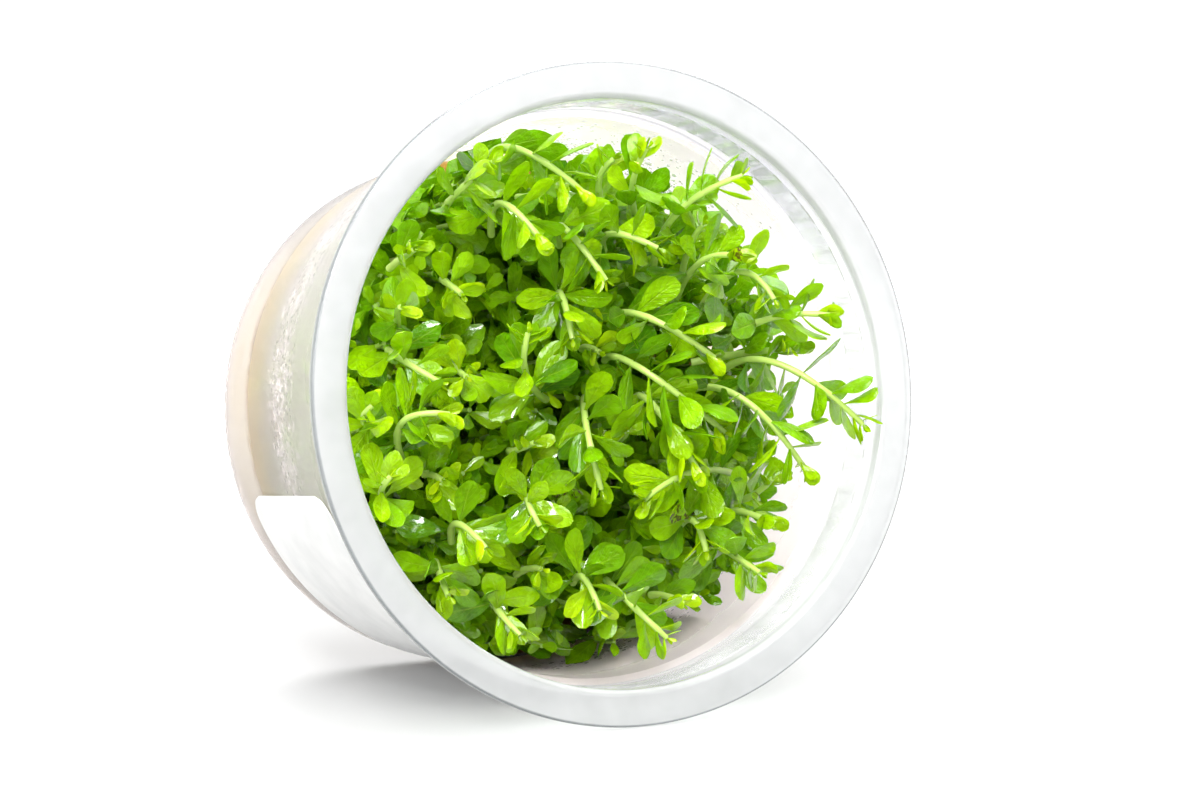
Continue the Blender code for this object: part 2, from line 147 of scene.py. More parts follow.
# The drops on the low side have run off
DROP_TURNS_DEG = (25, 218)
DROP_CLEAR_OF_ENDS = (4.0, 2.0)
DROP_SIZE_SPREAD = (-1.2, 0.45)
DROP_WIDEST = 0.8
DROP_HEIGHT_SHARES = (0.45, 0.6)
DROP_SIDES = 7
FINE_DROPS = 160
FINE_DROP_TURN_DEG = (62, 16)
FINE_DROP_DEPTHS = (-32, -15.5)
FINE_DROP_RADII = (0.12, 0.32)
FINE_DROP_HEIGHT_SHARE = 0.5
LABEL_COLUMNS = 112
LABEL_ROWS = 36
GEL_DISH = 0.8
GEL_EDGE_ROUND = 2.0
SHARP_MOULDING_DEG = 40
SHARP_PLANT_DEG = 75
LEAF_KIND, STEM_KIND, ROOT_KIND = 0, 1, 2
STEM_PARTS = 22
STEM_SIDES = 10
STEM_SLIMMER = 0.8
NODE_SWELL = 0.16
NODE_REACH = 0.7
AGE_BY_NODE = (0.12, 0.38, 0.55)
# More pairs than the CAD model has: distance from the tip, length, lift and age
MORE_PAIRS = (
    (4.8, 6.6, 58, 0.28), (10.2, 8.2, 68, 0.45), (16.0, 8.6, 74, 0.6), (19.5, 8.2, 78, 0.72),
    (23.0, 7.6, 82, 0.85),
)
MORE_TURN_DEG = 47.0
BROWNED_SHARE = 0.008
BLADE_FOOT = 0.14
LEAF_OFF_WALL = 0.45
# Distance from the tip, length, and angle from the stem
BUD_PAIRS = ((0.1, 1.8, 26), (0.6, 3.8, 62))
YOUNG_PAIRS = (
    (0.3, 4.6, 42), (3.2, 7.6, 60), (7.4, 8.6, 68), (12.0, 8.4, 72), (17.0, 7.4, 75), (22.5, 6.0, 80),
)
YOUNG_PARTS = 8
YOUNG_PIECES = 4
GOLDEN_TURN = math.pi * (3 - math.sqrt(5))
YOUNG_STEM_RADII = (0.6, 0.4)
YOUNG_STEM_SIDES = 6
INWARD_TURNS = 6
AGE_SPREAD = 0.12
# Rows along and columns across the blades of each kind of leaf
LEAF_GRID = (12, 6)
MORE_LEAF_GRID = (10, 6)
BUD_LEAF_GRID = (8, 4)
YOUNG_LEAF_GRID = (6, 4)
ROOTS = 90
ROOT_STEPS = 14
ROOT_STEP = 1.6
ROOT_SIDES = 5
ROOT_LIFT = 8.0
OLD_LEAVES = 20
OLD_LEAF_DEPTHS = (-52, -34)
OLD_LEAF_LENGTHS = (4, 8)

# The camera that the rim's two ellipses, the ledge and the base give
CAMERA_LENS = 90.0
CAMERA_SENSOR = 36.0
CAMERA_PLACE = (-0.20843, -0.45498, 0.09809)
CAMERA_AZIMUTH_DEG = -25.82
CAMERA_ELEVATION_DEG = 5.72

# Name, place, size in metres, share of the key light's power, and if it shows in gloss
SOFTBOXES = (
    ("softbox_top", (-0.25, -0.5, 1.0), (0.9, 0.9), 1.0, True),
    ("softbox_left", (-0.85, -0.7, 0.45), (0.3, 0.4), 0.2, True),
    ("softbox_front", (-0.45, -1.0, 0.65), (0.2, 0.2), 0.28, True),
    ("softbox_back", (0.3, 0.6, 0.85), (0.8, 0.5), 0.5, True),
    ("softbox_right", (0.9, 0.25, 0.2), (0.5, 0.4), 0.15, False),
)

# name, foot (x, y) on the lower growth, knee (x, y, z), tip (x, y, z), turn of the first pair
SHOOTS = (
    ("top_tip", (-14, 35), (-14, 40, -9), (-4, 32, -3), 20),
    ("top_left", (-21, 31), (-22, 33, -12), (-19, 37, -4), 60),
    ("upper_stem", (-13, 27), (-16, 31, -8), (-12, 24, -2), 0),
    ("upper_arch", (-1, 25), (-5, 27, -9), (-1, 18, -3), 35),
    ("mid_arch", (-2, 16), (-6, 16, -9), (-7, 9, -4), 80),
    ("round_pair", (9, 28), (4, 34, -14), (5, 38, -10), 10),
    ("fork_tip", (14, 28), (8, 33, -10), (8, 39, -4), 50),
    ("upper_right", (16, 21), (15, 29, -8), (23, 34, 0), 45),
    ("right_crown", (21, 18), (20, 23, -15), (20, 27, -9), 0),
    ("inner_right", (7, 24), (4, 26, -10), (9, 23, -4), 70),
    ("right_bar", (20, 16), (19, 21, -8), (22, 21, -1), 15),
    ("right_bend", (23, 12), (25, 19, -8), (28, 14, -1), 60),
    ("far_right_up", (27, 7), (29, 11, -6), (37, 11, 1), 30),
    ("far_right", (26, 2), (30, 4, -6), (42, -7, 1), 75),
    ("spoon", (22, 5), (29, 6, -14), (33, 6, -5), 20),
    ("long_upper", (8, 13), (7, 12, -5), (17, 5, -2), 40),
    ("long_right", (18, -1), (22, -1, -5), (32, -14, -1), 10),
    ("long_mid", (6, 6), (5, 4, -4), (18, -7, -2), 65),
    ("mid_right", (11, -1), (8, -2, -7), (13, -13, -2), 30),
    ("cross_stem", (31, -15), (16, -13, -8), (3, -17, -2), 80),
    ("star", (-30, -10), (-36, -3, -6), (-30, -2, -1), 25),
    ("left_stem", (-32, 9), (-34, 7, -9), (-30, 3, -4), 50),
    ("left_cross", (-30, 11), (-34, 14, -10), (-35, 15, -6), 0),
    ("left_low", (-34, -15), (-39, -13, -8), (-39, -11, -4), 40),
    ("left_rim", (-35, -3), (-41, -2, -9), (-41, 0, -5), 85),
    ("crown", (-5, 0), (-14, 4, -7), (-16, 10, -1), 30),
    ("centre", (2, 0), (-4, -5, -7), (-4, -15, -3), 60),
    ("lower_mid", (-23, -22), (-25, -19, -12), (-23, -23, -6), 20),
    ("hang_mid", (-8, -16), (-15, -16, -7), (-15, -20, -3), 45),
    ("lower_left", (-26, -25), (-28, -27, -13), (-29, -30, -8), 70),
    ("bottom_left", (-16, -32), (-19, -33, -12), (-18, -37, -6), 35),
    ("bottom_mid", (-2, -30), (-5, -29, -9), (-5, -34, -4), 10),
    ("bottom_right", (4, -30), (1, -33, -6), (5, -39, -1), 55),
    ("low_right", (17, -23), (15, -21, -9), (15, -26, -5), 80),
    ("right_round", (25, -21), (25, -20, -12), (27, -22, -5), 15),
    ("right_bright", (24, -25), (22, -27, -9), (23, -30, -2), 50),
    ("right_leaf", (27, -18), (28, -18, -14), (29, -15, -7), 30),
    ("deep_left", (-22, 20), (-23, 19, -15), (-23, 17, -10), 40),
    ("deep_upper", (-8, 33), (-7, 33, -16), (-6, 34, -12), 10),
    ("deep_middle", (-21, 6), (-22, 5, -15), (-23, 4, -10), 75),
    ("deep_centre", (-12, -8), (-13, -8, -15), (-12, -7, -10), 20),
    ("deep_lower", (-27, -11), (-28, -11, -15), (-28, -12, -10), 60),
    ("deep_right", (6, -8), (6, -7, -15), (5, -6, -11), 35),
    ("deep_bottom", (-12, -28), (-12, -27, -15), (-12, -27, -10), 85),
    ("deep_bottom_right", (12, -33), (12, -33, -15), (13, -34, -11), 15),
    ("deep_top", (2, 8), (1, 8, -15), (1, 7, -11), 50),
    ("deep_far_left", (-31, 22), (-31, 23, -15), (-31, 24, -9), 25),
)


def cup_place():
    """The cup's frame in the world, from the packed record's base mount and the cup's own box."""
    out_of_base = Vector(frame["record"]["mounts"][0]["axis"])
    lean = math.atan2(-out_of_base.z, out_of_base.y)
    low, high = (Vector(corner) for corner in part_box("cup"))
    front = low.y + RIM_RADIUS * MM * math.sin(lean)
    height = high.z - RIM_RADIUS * MM * math.cos(lean)
    place = Vector(((low.x + high.x) / 2, front, height))
    return lean, Matrix.Translation(place) @ Matrix.Rotation(math.pi / 2 - lean, 4, "X")


LEAN, CUP = cup_place()


def linear(code):
    """A colour in linear light from its sRGB hex code."""
    values = []
    for i in (0, 2, 4):
        share = int(code[i:i + 2], 16) / 255
        values.append(share / 12.92 if share <= 0.04045 else ((share + 0.055) / 1.055) ** 2.4)
    return tuple(values)


def outer_radius(z):
    """The wall's outer radius below the ledge."""
    slope = (LEDGE_RADIUS - BASE_RADIUS) / (CUP_DEPTH - CORNER_ROUND - LEDGE_DEPTH)
    return BASE_RADIUS + (z + CUP_DEPTH - CORNER_ROUND) * slope


def inner_radius(z):
    if z < -LEDGE_DEPTH:
        return outer_radius(z) - WALL
    return LIP_RADIUS


def arc(centre_r, centre_z, radius, start_deg, end_deg, steps):
    """Profile points on a round edge, from one angle to the other."""
    points = []
    for i in range(steps + 1):
        angle = math.radians(start_deg + (end_deg - start_deg) * i / steps)
        points.append((centre_r + radius * math.cos(angle), centre_z + radius * math.sin(angle)))
    return points


def bent(start, bend, end, parts):
    """Points of a curve that sets out towards the bend and comes in to the end from it."""
    points = []
    for i in range(parts + 1):
        t = i / parts
        points.append(start * (1 - t) ** 2 + bend * (2 * t * (1 - t)) + end * t ** 2)
    return points


def ring_faces(first, sides):
    """Faces between a ring of corners and the next one."""
    faces = []
    for i in range(sides):
        j = (i + 1) % sides
        faces.append((first + i, first + j, first + sides + j, first + sides + i))
    return faces


def sideways(along):
    """A direction square to the one given, always on the same side."""
    return along.cross(SIDEWAYS_FROM).normalized()


def pointing(along, out, lift):
    """A leaf's direction and its way across, from the stem's direction and the way out of it."""
    direction = (along * math.cos(lift) + out * math.sin(lift)).normalized()
    return direction, along.cross(out).normalized()


class Leaf:
    """One leaf: where it leaves the stem, where it points, its length, and its age from 0 to 1."""

    def __init__(self, base, direction, across, length, age=1.0):
        self.base = base
        self.direction = direction
        self.across = across
        self.length = length
        self.age = age

    def outline(self, spare=0.0):
        """Corners of the blade as a thin closed box, made larger by the spare."""
        half = LEAF_THICKNESS / 2 + spare
        up = self.across.cross(self.direction)
        width = self.length * LEAF_WIDTH_SHARE / 2
        rows = (
            (LEAF_FOOT_AT, LEAF_FOOT_HALF_WIDTH + spare),
            (self.length * LEAF_WIDEST_AT, width + spare),
            (self.length + spare, width * LEAF_TIP_SHARE + spare),
        )
        corners = []
        for along, wide in rows:
            middle = self.base + self.direction * along
            for a, b in ((-1, -1), (1, -1), (1, 1), (-1, 1)):
                corners.append(middle + self.across * (a * wide) + up * (b * half))
        return corners

    def tree(self, spare=0.0):
        quads = [(0, 1, 2, 3), (8, 11, 10, 9)] + ring_faces(0, 4) + ring_faces(4, 4)
        return BVHTree.FromPolygons(self.outline(spare), quads)


class Shoot:
    """A stem from its foot through its knee to its tip, with pairs of leaves crossing in turn."""

    def __init__(self, name, foot, knee, tip, turn):
        self.name = name
        start = Vector((*foot, FOOT_Z))
        end = Vector(tip)
        bend = Vector(knee) * 2 - (start + end) / 2
        bend.z = min(bend.z, end.z + BEND_ABOVE_TIP)
        self.points = bent(start, bend, end, STEM_SAMPLES)
        self.reach = [0.0]
        for a, b in zip(self.points, self.points[1:]):
            self.reach.append(self.reach[-1] + (b - a).length)
        self.turn = math.radians(turn)
        self.nodes = [
            self.reach[-1] - back
            for back in NODES_FROM_TIP
            if self.reach[-1] - back > FOOT_CLEARANCE
        ]
        self.leaves = []
        self.more_leaves = []

    def at(self, distance):
        """The stem's middle and direction at a distance from the foot."""
        distance = min(max(distance, 0.0), self.reach[-1])
        i = 0
        while i < STEM_SAMPLES - 1 and self.reach[i + 1] < distance:
            i += 1
        share = (distance - self.reach[i]) / (self.reach[i + 1] - self.reach[i])
        place = self.points[i].lerp(self.points[i + 1], share)
        return place, (self.points[i + 1] - self.points[i]).normalized()

    def side(self, node, quarter):
        """A sideways direction at a node: it turns a quarter from one pair to the next."""
        _, along = self.at(self.nodes[node])
        level = sideways(along)
        turn = self.turn + math.radians(90) * (node + quarter)
        return Matrix.Rotation(turn, 3, along) @ level

    def radius(self, distance):
        share = distance / self.reach[-1]
        return STEM_RADIUS_FOOT + (STEM_RADIUS_TIP - STEM_RADIUS_FOOT) * share

    def stops(self):
        """Where the stem has a section, the node it turns with, and if a node ends there."""
        last = len(self.nodes) - 1
        first_node = self.nodes[last] - NODE_HALF_HEIGHT
        steps = math.ceil(first_node / STEM_STEP)
        stops = [(first_node * i / steps, last, False) for i in range(steps)]
        for node in reversed(range(last + 1)):
            stops.append((self.nodes[node] - NODE_HALF_HEIGHT, node, False))
            stops.append((self.nodes[node] + NODE_HALF_HEIGHT, node, True))
        return stops + [(self.reach[-1], 0, False)]

    def tree(self, spare):
        """A square tube round the stem."""
        corners = []
        quads = []
        for i, (distance, _, _) in enumerate(self.stops()):
            place, along = self.at(distance)
            a = sideways(along)
            b = along.cross(a)
            wide = self.radius(distance) + spare
            for u, v in ((-1, -1), (1, -1), (1, 1), (-1, 1)):
                corners.append(place + a * (u * wide) + b * (v * wide))
            if i:
                quads += ring_faces(4 * (i - 1), 4)
        return BVHTree.FromPolygons(corners, quads)


def fits_in_cup(leaf):
    """True if the leaf stays clear of the wall, the lower growth and the plane before the rim."""
    for corner in leaf.outline(GAP):
        if math.hypot(corner.x, corner.y) > inner_radius(corner.z) - WALL_CLEARANCE:
            return False
        if corner.z < GROWTH_TOP + GAP:
            return False
        if corner.z * math.cos(LEAN) - corner.y * math.sin(LEAN) > FRONT_LIMIT:
            return False
    return True


def tried_leaves(middle, along, out, length, lift_deg, turns_deg, age):
    """The leaf as it would grow, then smaller, lifted and turned ones that squeeze in."""
    for size in TRY_SIZES:
        for tip in TRY_TIPS_DEG:
            for turn in turns_deg:
                turned_out = Matrix.Rotation(math.radians(turn), 3, along) @ out
                direction, across = pointing(along, turned_out, math.radians(lift_deg + tip))
                yield Leaf(middle, direction, across, length * size, age)


def first_with_room(tries, other_stems, placed, spare):
    """The first leaf that touches nothing, or nothing if none has room."""
    for leaf in tries:
        if not fits_in_cup(leaf):
            continue
        tree = leaf.tree(spare)
        near = [other for base, other in placed if (base - leaf.base).length < NEAR_LEAVES]
        if not any(tree.overlap(other) for other in other_stems + near):
            return leaf
    return None


def plan_shoots():
    """The shoots with every leaf that has room: the CAD model's own, the tips' first, then more."""
    shoots = [Shoot(*row) for row in SHOOTS]
    stems = [shoot.tree(GAP) for shoot in shoots]
    placed = []
    for node, length in enumerate(LEAF_LENGTHS):
        for number, shoot in enumerate(shoots):
            if node >= len(shoot.nodes):
                continue
            middle, along = shoot.at(shoot.nodes[node])
            pair = []
            for side in (0, 2):
                tries = tried_leaves(
                    middle, along, shoot.side(node, side), length, LEAF_LIFTS_DEG[node], TRY_TURNS_DEG,
                    AGE_BY_NODE[node],
                )
                leaf = first_with_room(tries, stems[:number] + stems[number + 1:], placed, GAP)
                if leaf:
                    pair.append(leaf)
            shoot.leaves += pair
            placed += [(leaf.base, leaf.tree()) for leaf in pair]
    for back, length, lift_deg, age in MORE_PAIRS:
        for number, shoot in enumerate(shoots):
            distance = shoot.reach[-1] - back
            if distance < FOOT_CLEARANCE:
                continue
            middle, along = shoot.at(distance)
            level = sideways(along)
            out = Matrix.Rotation(shoot.turn + math.radians(MORE_TURN_DEG) * back, 3, along) @ level
            for side in (1, -1):
                tries = tried_leaves(middle, along, out * side, length, lift_deg, TRY_TURNS_DEG[:3], age)
                leaf = first_with_room(tries, stems[:number] + stems[number + 1:], placed, 0.0)
                if leaf:
                    shoot.more_leaves.append(leaf)
                    placed.append((leaf.base, leaf.tree()))
    return shoots


def share_of(name, description, default):
    """A setting from 0 to 1."""
    return FloatProperty(name=name, description=description, default=default, min=0, max=1)


def colour_of(name, description, code):
    """A colour setting, its default as an sRGB hex code."""
    return FloatVectorProperty(
        name=name, description=description, default=linear(code), subtype="COLOR", size=3, min=0, max=1,
    )


class CupLook(bpy.types.PropertyGroup):
    """Finish of the moulded cup and of the water inside it."""

    roughness: share_of("Roughness", "Roughness of the moulded skin", 0.12)
    fogged_roughness: share_of("Fogged roughness", "Roughness of the fogged inner wall", 0.38)
    rim_clearness: share_of("Rim clearness", "Share of light that goes straight on through the rim", 0.58)
    clearness: share_of("Clearness", "Share of light that goes straight on elsewhere", 0.95)
    fogged_clearness: share_of("Fogged clearness", "Share of light that goes on where fogged", 0.66)
    milkiness: share_of("Milkiness", "Share of light that the wall scatters on", 0.2)
    collar_milkiness: share_of("Collar milkiness", "Share of light that the collar scatters on", 0.23)
    fog_milkiness: share_of("Fog milkiness", "Share of light that full fog scatters on", 0.48)
    # The rim's colour is darker than the wall's own: painted shade
    tint: colour_of("Tint", "Colour of the plastic in the rim, darkened as painted shade", "C5C6C6")
    # The rim corner's grey is painted shade
    corner: colour_of("Rim corner", "Grey painted on the rim's outer corner as shade", "8C9092")
    drops: IntProperty(
        name="Drops", description="Condensation drops in the wet band of the wall", default=1900, min=0,
    )


class LabelLook(bpy.types.PropertyGroup):
    """Paper label on the lower wall."""

    thickness: FloatProperty(
        name="Thickness", description="Thickness of the paper", default=0.15 * MM, min=0, unit="LENGTH",
    )
    paper: colour_of("Paper", "Colour of the coated side", "FBFBF9")


class PlantLook(bpy.types.PropertyGroup):
    """Number, size and colours of the leaves."""

    young_shoots: IntProperty(
        name="Young shoots", description="Shoots of the lower growth", default=230, min=1,
    )
    blade_thickness: FloatProperty(
        name="Blade thickness", description="Thickness of a leaf at its midrib", default=0.3 * MM,
        min=0, unit="LENGTH",
    )
    young: colour_of("Young leaf", "Colour of the leaves at a tip", "BCE000")
    mature: colour_of("Mature leaf", "Colour of full-grown leaves", "98CE00")
    # The old green is partly the leaves' own colour with age and partly painted shade of the deep growth
    old: colour_of("Old leaf", "Colour of the lowest green leaves", "347A04")
    stem: colour_of("Stem", "Colour of the stems", "CEE87A")


class StudioLook(bpy.types.PropertyGroup):
    """Floor and lights."""

    floor_size: FloatProperty(
        name="Floor size", description="Side of the floor", default=6.0, min=0.1, unit="LENGTH",
    )
    backdrop: FloatProperty(
        name="Backdrop", description="Brightness of the white backdrop", default=1.12, min=0,
    )
    fill: FloatProperty(
        name="Fill", description="Brightness of the light from all around", default=0.4, min=0,
    )
    key_power: FloatProperty(
        name="Key light", description="Power of the softbox above", default=24.0, min=0, unit="POWER",
    )


LOOKS = {
    "rotala_cup_look": CupLook,
    "rotala_label_look": LabelLook,
    "rotala_plant_look": PlantLook,
    "rotala_studio_look": StudioLook,
}


def add(tree, kind, inputs=None, **settings):
    """Adds a shader node with its settings.

    An input takes a value, a colour, an output to link, or a node to link the first output of.
    """
    made = tree.nodes.new("ShaderNode" + kind)
    for name, value in settings.items():
        setattr(made, name, value)
    for name, value in (inputs or {}).items():
        socket = made.inputs[name]
        if isinstance(value, bpy.types.Node):
            value = next(output for output in value.outputs if output.enabled)
        if isinstance(value, bpy.types.NodeSocket):
            tree.links.new(value, socket)
        else:
            socket.default_value = (*value, 1.0) if socket.type == "RGBA" else value
    return made


def blank(name):
    """An empty material and its node tree."""
    material = bpy.data.materials.new(name)
    material.use_nodes = True
    material.node_tree.nodes.clear()
    return material, material.node_tree


def depth_in_cup(tree, place):
    """The coordinate along the cup's axis, 0 at the mouth and below 0 inside, in metres."""
    axis = CUP.to_3x3() @ Vector((0, 0, 1))
    along = add(tree, "VectorMath", {0: place, 1: axis}, operation="DOT_PRODUCT")
    return add(tree, "Math", {0: along, 1: -CUP.translation.dot(axis)}, operation="ADD")


def off_axis(tree, place):
    """The distance from the cup's axis, in metres."""
    axis = CUP.to_3x3() @ Vector((0, 0, 1))
    arm = add(tree, "VectorMath", {0: place, 1: CUP.translation}, operation="SUBTRACT")
    turned_arm = add(tree, "VectorMath", {0: arm, 1: axis}, operation="CROSS_PRODUCT")
    return add(tree, "VectorMath", {0: turned_arm}, operation="LENGTH")


def free_of_painted_top_shade(tree, place):
    """How far the wall lies from the cup's high side: 1 low down, falling to 0.15 at the top, where the
    wall is painted greyer and glows less as painted shade.
    """
    parts = add(tree, "SeparateXYZ", {0: place})
    return add(tree, "MapRange", {
        "Value": parts.outputs["Z"], "From Min": 50 * MM, "From Max": 92 * MM, "To Min": 1.0,
        "To Max": 0.15,
    }, interpolation_type="SMOOTHSTEP")


def lit_through(tree, surface, colour, share):
    """The surface, with a share of the light that comes through it from behind."""
    glow = add(tree, "BsdfTranslucent", {"Color": colour})
    return add(tree, "MixShader", {0: share, 1: surface, 2: glow})


def see_through_shadow(tree, surface, colour):
    """Ends a clear material, whose shadow lets the colour through."""
    path = add(tree, "LightPath")
    through = add(tree, "BsdfTransparent", {"Color": colour})
    mixed = add(tree, "MixShader", {0: path.outputs["Is Shadow Ray"], 1: surface, 2: through})
    add(tree, "OutputMaterial", {"Surface": mixed})


def tone_of_plant(tree):
    """What the tone attribute holds: the age, a chance value, and how far the tissue has browned."""
    tone = add(tree, "Attribute", attribute_name="tone")
    return add(tree, "SeparateColor", {0: tone}).outputs


def moulded_polypropylene(look):
    """Clarified polypropylene, injection moulded against polished steel.

    The eye sees a smooth clear skin over a body that is faintly milky, more so in soft clouds.
    """
    material, tree = blank("clarified polypropylene, injection moulded")
    place = add(tree, "TexCoord").outputs["Object"]
    # The milkiness comes in clouds of about 8 mm
    clouds = add(tree, "TexNoise", {
        "Vector": place, "Scale": 1 / (8 * MM), "Detail": 2.0, "Roughness": 0.5,
    })
    cloudy = add(tree, "MapRange", {
        "Value": clouds, "From Min": 0.3, "From Max": 0.7, "To Min": -0.04, "To Max": 0.04,
    })
    # The melt meets in the rim and freezes cloudier there than in the collar and the wall. The rim's
    # plastic is also painted a darker grey than the wall's: painted shade for the grey that the rim shows
    depth = depth_in_cup(tree, place)
    below_rim = add(tree, "MapRange", {
        "Value": depth, "From Min": -1.2 * MM, "From Max": -3 * MM,
    }, interpolation_type="SMOOTHSTEP")
    even = add(tree, "Math", {
        0: below_rim, 1: look.clearness - look.rim_clearness, 2: look.rim_clearness,
    }, operation="MULTIPLY_ADD")
    clear = add(tree, "Math", {0: even, 1: cloudy}, operation="ADD")
    # Painted shade: the side that lies uppermost is painted greyer, towards lilac, and glows less
    free_of_top_shade = free_of_painted_top_shade(tree, place)
    wall = add(tree, "Mix", {
        "Factor": free_of_top_shade, "A": linear("E4E2EA"), "B": linear("FAFAFC"),
    }, data_type="RGBA")
    # Painted shade: the rim takes its darker grey, the wall its own colour
    body = add(tree, "Mix", {"Factor": below_rim, "A": look.tint, "B": wall}, data_type="RGBA")
    # Painted shade: the rim's outer corner would turn the light away from the eye, but the bend is too fine
    # to render, so a thin grey line is painted there
    outermost = add(tree, "MapRange", {
        "Value": off_axis(tree, place), "From Min": (RIM_RADIUS - RIM_ROUND) * MM,
        "From Max": (RIM_RADIUS - 0.2) * MM,
    }, interpolation_type="SMOOTHSTEP")
    foremost = add(tree, "MapRange", {
        "Value": depth, "From Min": -0.8 * MM, "From Max": -0.5 * MM,
    }, interpolation_type="SMOOTHSTEP")
    corner = add(tree, "Math", {0: outermost, 1: foremost}, operation="MULTIPLY")
    colour = add(tree, "Mix", {"Factor": corner, "A": body, "B": look.corner}, data_type="RGBA")
    # Flow marks of the moulding, about 1.5 mm apart and hardly felt
    flow = add(tree, "TexNoise", {"Vector": place, "Scale": 1 / (1.5 * MM), "Detail": 2.0})
    bump = add(tree, "Bump", {"Height": flow, "Strength": 0.05, "Distance": 0.05 * MM})
    gloss = add(tree, "MapRange", {
        "Value": clouds, "To Min": look.roughness * 0.7, "To Max": look.roughness * 1.3,
    })
    plastic = add(tree, "BsdfPrincipled", {
        "Base Color": colour, "Roughness": gloss, "IOR": 1.49, "Transmission Weight": clear, "Normal": bump,
    })
    # The milky body glows with the light from behind it, most in the collar
    below_collar = add(tree, "MapRange", {
        "Value": depth, "From Min": -13 * MM, "From Max": -16 * MM,
    }, interpolation_type="SMOOTHSTEP")
    glow = add(tree, "Mix", {
        "Factor": below_collar, "A": linear("F4F3F2"), "B": linear("FAEDE8"),
    }, data_type="RGBA")
    collar_share = add(tree, "Math", {0: below_rim, 1: look.collar_milkiness}, operation="MULTIPLY")
    even_share = add(tree, "Mix", {0: below_collar, 2: collar_share, 3: look.milkiness}, data_type="FLOAT")
    # Painted shade: the glow is cut on the uppermost side
    share = add(tree, "Math", {0: even_share, 1: free_of_top_shade}, operation="MULTIPLY")
    see_through_shadow(tree, lit_through(tree, plastic, glow, share), linear(SHADOW_TINT))
    return material


def fogged_polypropylene(look):
    """The same plastic where damp air touches it: fogged by fine condensed water in the cup's depth.

    The eye sees it clear with a fine grain below the ledge, then evenly frosted from about 30 mm down.
    """
    material, tree = blank("clarified polypropylene, fogged with condensed water")
    place = add(tree, "TexCoord").outputs["Object"]
    # Fog gathers in patches of about 9 mm
    patches = add(tree, "TexNoise", {
        "Vector": place, "Scale": 1 / (9 * MM), "Detail": 3.0, "Roughness": 0.6,
    })
    shift = add(tree, "Math", {
        0: patches, 1: 9 * MM, 2: depth_in_cup(tree, place),
    }, operation="MULTIPLY_ADD")
    fog = add(tree, "MapRange", {
        "Value": shift, "From Min": -12 * MM, "From Max": -30 * MM, "To Min": 0.5, "To Max": 1.0,
    }, interpolation_type="SMOOTHSTEP")
    # In the wet band the fog has run together in drops about 1 mm apart, which are clear
    beads = add(tree, "TexVoronoi", {"Vector": place, "Scale": 1 / (1.1 * MM)})
    bead = add(tree, "MapRange", {
        "Value": beads, "From Min": 0.28, "From Max": 0.42,
    }, interpolation_type="SMOOTHSTEP")
    from_band = add(tree, "Math", {0: shift, 1: WET_BAND_FOG * MM}, operation="SUBTRACT")
    off_band = add(tree, "Math", {0: from_band}, operation="ABSOLUTE")
    wet = add(tree, "MapRange", {
        "Value": off_band, "From Min": 4 * MM, "From Max": 6.5 * MM, "To Min": 1.0, "To Max": 0.0,
    }, interpolation_type="SMOOTHSTEP")
    beaded = add(tree, "MapRange", {"Value": bead, "To Min": 0.45, "To Max": 1.0})
    kept = add(tree, "Mix", {0: wet, 2: 1.0, 3: beaded}, data_type="FLOAT")
    film = add(tree, "Math", {0: fog, 1: kept}, operation="MULTIPLY")
    roughness = add(tree, "MapRange", {
        "Value": film, "To Min": look.roughness, "To Max": look.fogged_roughness,
    })
    clear = add(tree, "MapRange", {
        "Value": film, "To Min": look.clearness, "To Max": look.fogged_clearness,
    })
    # Nutrients that splashed up from the gel have left a warm film above it
    splash = add(tree, "MapRange", {
        "Value": shift, "From Min": -36 * MM, "From Max": -47 * MM,
    }, interpolation_type="SMOOTHSTEP")
    colour = add(tree, "Mix", {
        "Factor": splash, "A": linear("FAF0F0"), "B": linear("FFF0CC"),
    }, data_type="RGBA")
    # Fog drops are under 0.1 mm, drawn at 0.4 mm so that the grain shows
    grain = add(tree, "TexVoronoi", {"Vector": place, "Scale": 1 / (0.4 * MM)})
    height = add(tree, "Math", {0: bead, 1: -3.0, 2: grain}, operation="MULTIPLY_ADD")
    relief = add(tree, "Mix", {0: wet, 2: grain, 3: height}, data_type="FLOAT")
    bump = add(tree, "Bump", {"Height": relief, "Strength": 0.25, "Distance": 0.05 * MM})
    plastic = add(tree, "BsdfPrincipled", {
        "Base Color": colour, "Roughness": roughness, "IOR": 1.49, "Transmission Weight": clear,
        "Normal": bump,
    })
    # The fog glows with the light from behind it; on the uppermost side its glow is cut as painted shade
    fullest = add(tree, "Math", {0: free_of_painted_top_shade(tree, place), 1: look.fog_milkiness}, operation="MULTIPLY")
    share = add(tree, "Math", {0: film, 1: fullest}, operation="MULTIPLY")
    see_through_shadow(tree, lit_through(tree, plastic, colour, share), linear(SHADOW_TINT))
    return material


def coated_paper(look):
    """Label paper, clay coated and calendered, die cut: a flat white with a soft sheen."""
    material, tree = blank("label paper, clay coated and calendered")
    place = add(tree, "TexCoord").outputs["Object"]
    # Fibres are 0.05 mm wide, drawn at 0.3 mm so that they show
    fibres = add(tree, "TexNoise", {
        "Vector": place, "Scale": 1 / (0.3 * MM), "Detail": 4.0, "Roughness": 0.65,
    })
    cloudy = add(tree, "TexNoise", {"Vector": place, "Scale": 1 / (6 * MM), "Detail": 2.0})
    shade = add(tree, "Mix", {"Factor": cloudy, "A": look.paper, "B": linear("DADBDA")}, data_type="RGBA")
    bump = add(tree, "Bump", {"Height": fibres, "Strength": 0.25, "Distance": 0.02 * MM})
    gloss = add(tree, "MapRange", {"Value": fibres, "To Min": 0.34, "To Max": 0.5})
    paper = add(tree, "BsdfPrincipled", {
        "Base Color": shade, "Roughness": gloss, "IOR": 1.5, "Normal": bump,
    })
    add(tree, "OutputMaterial", {"Surface": paper})
    return material


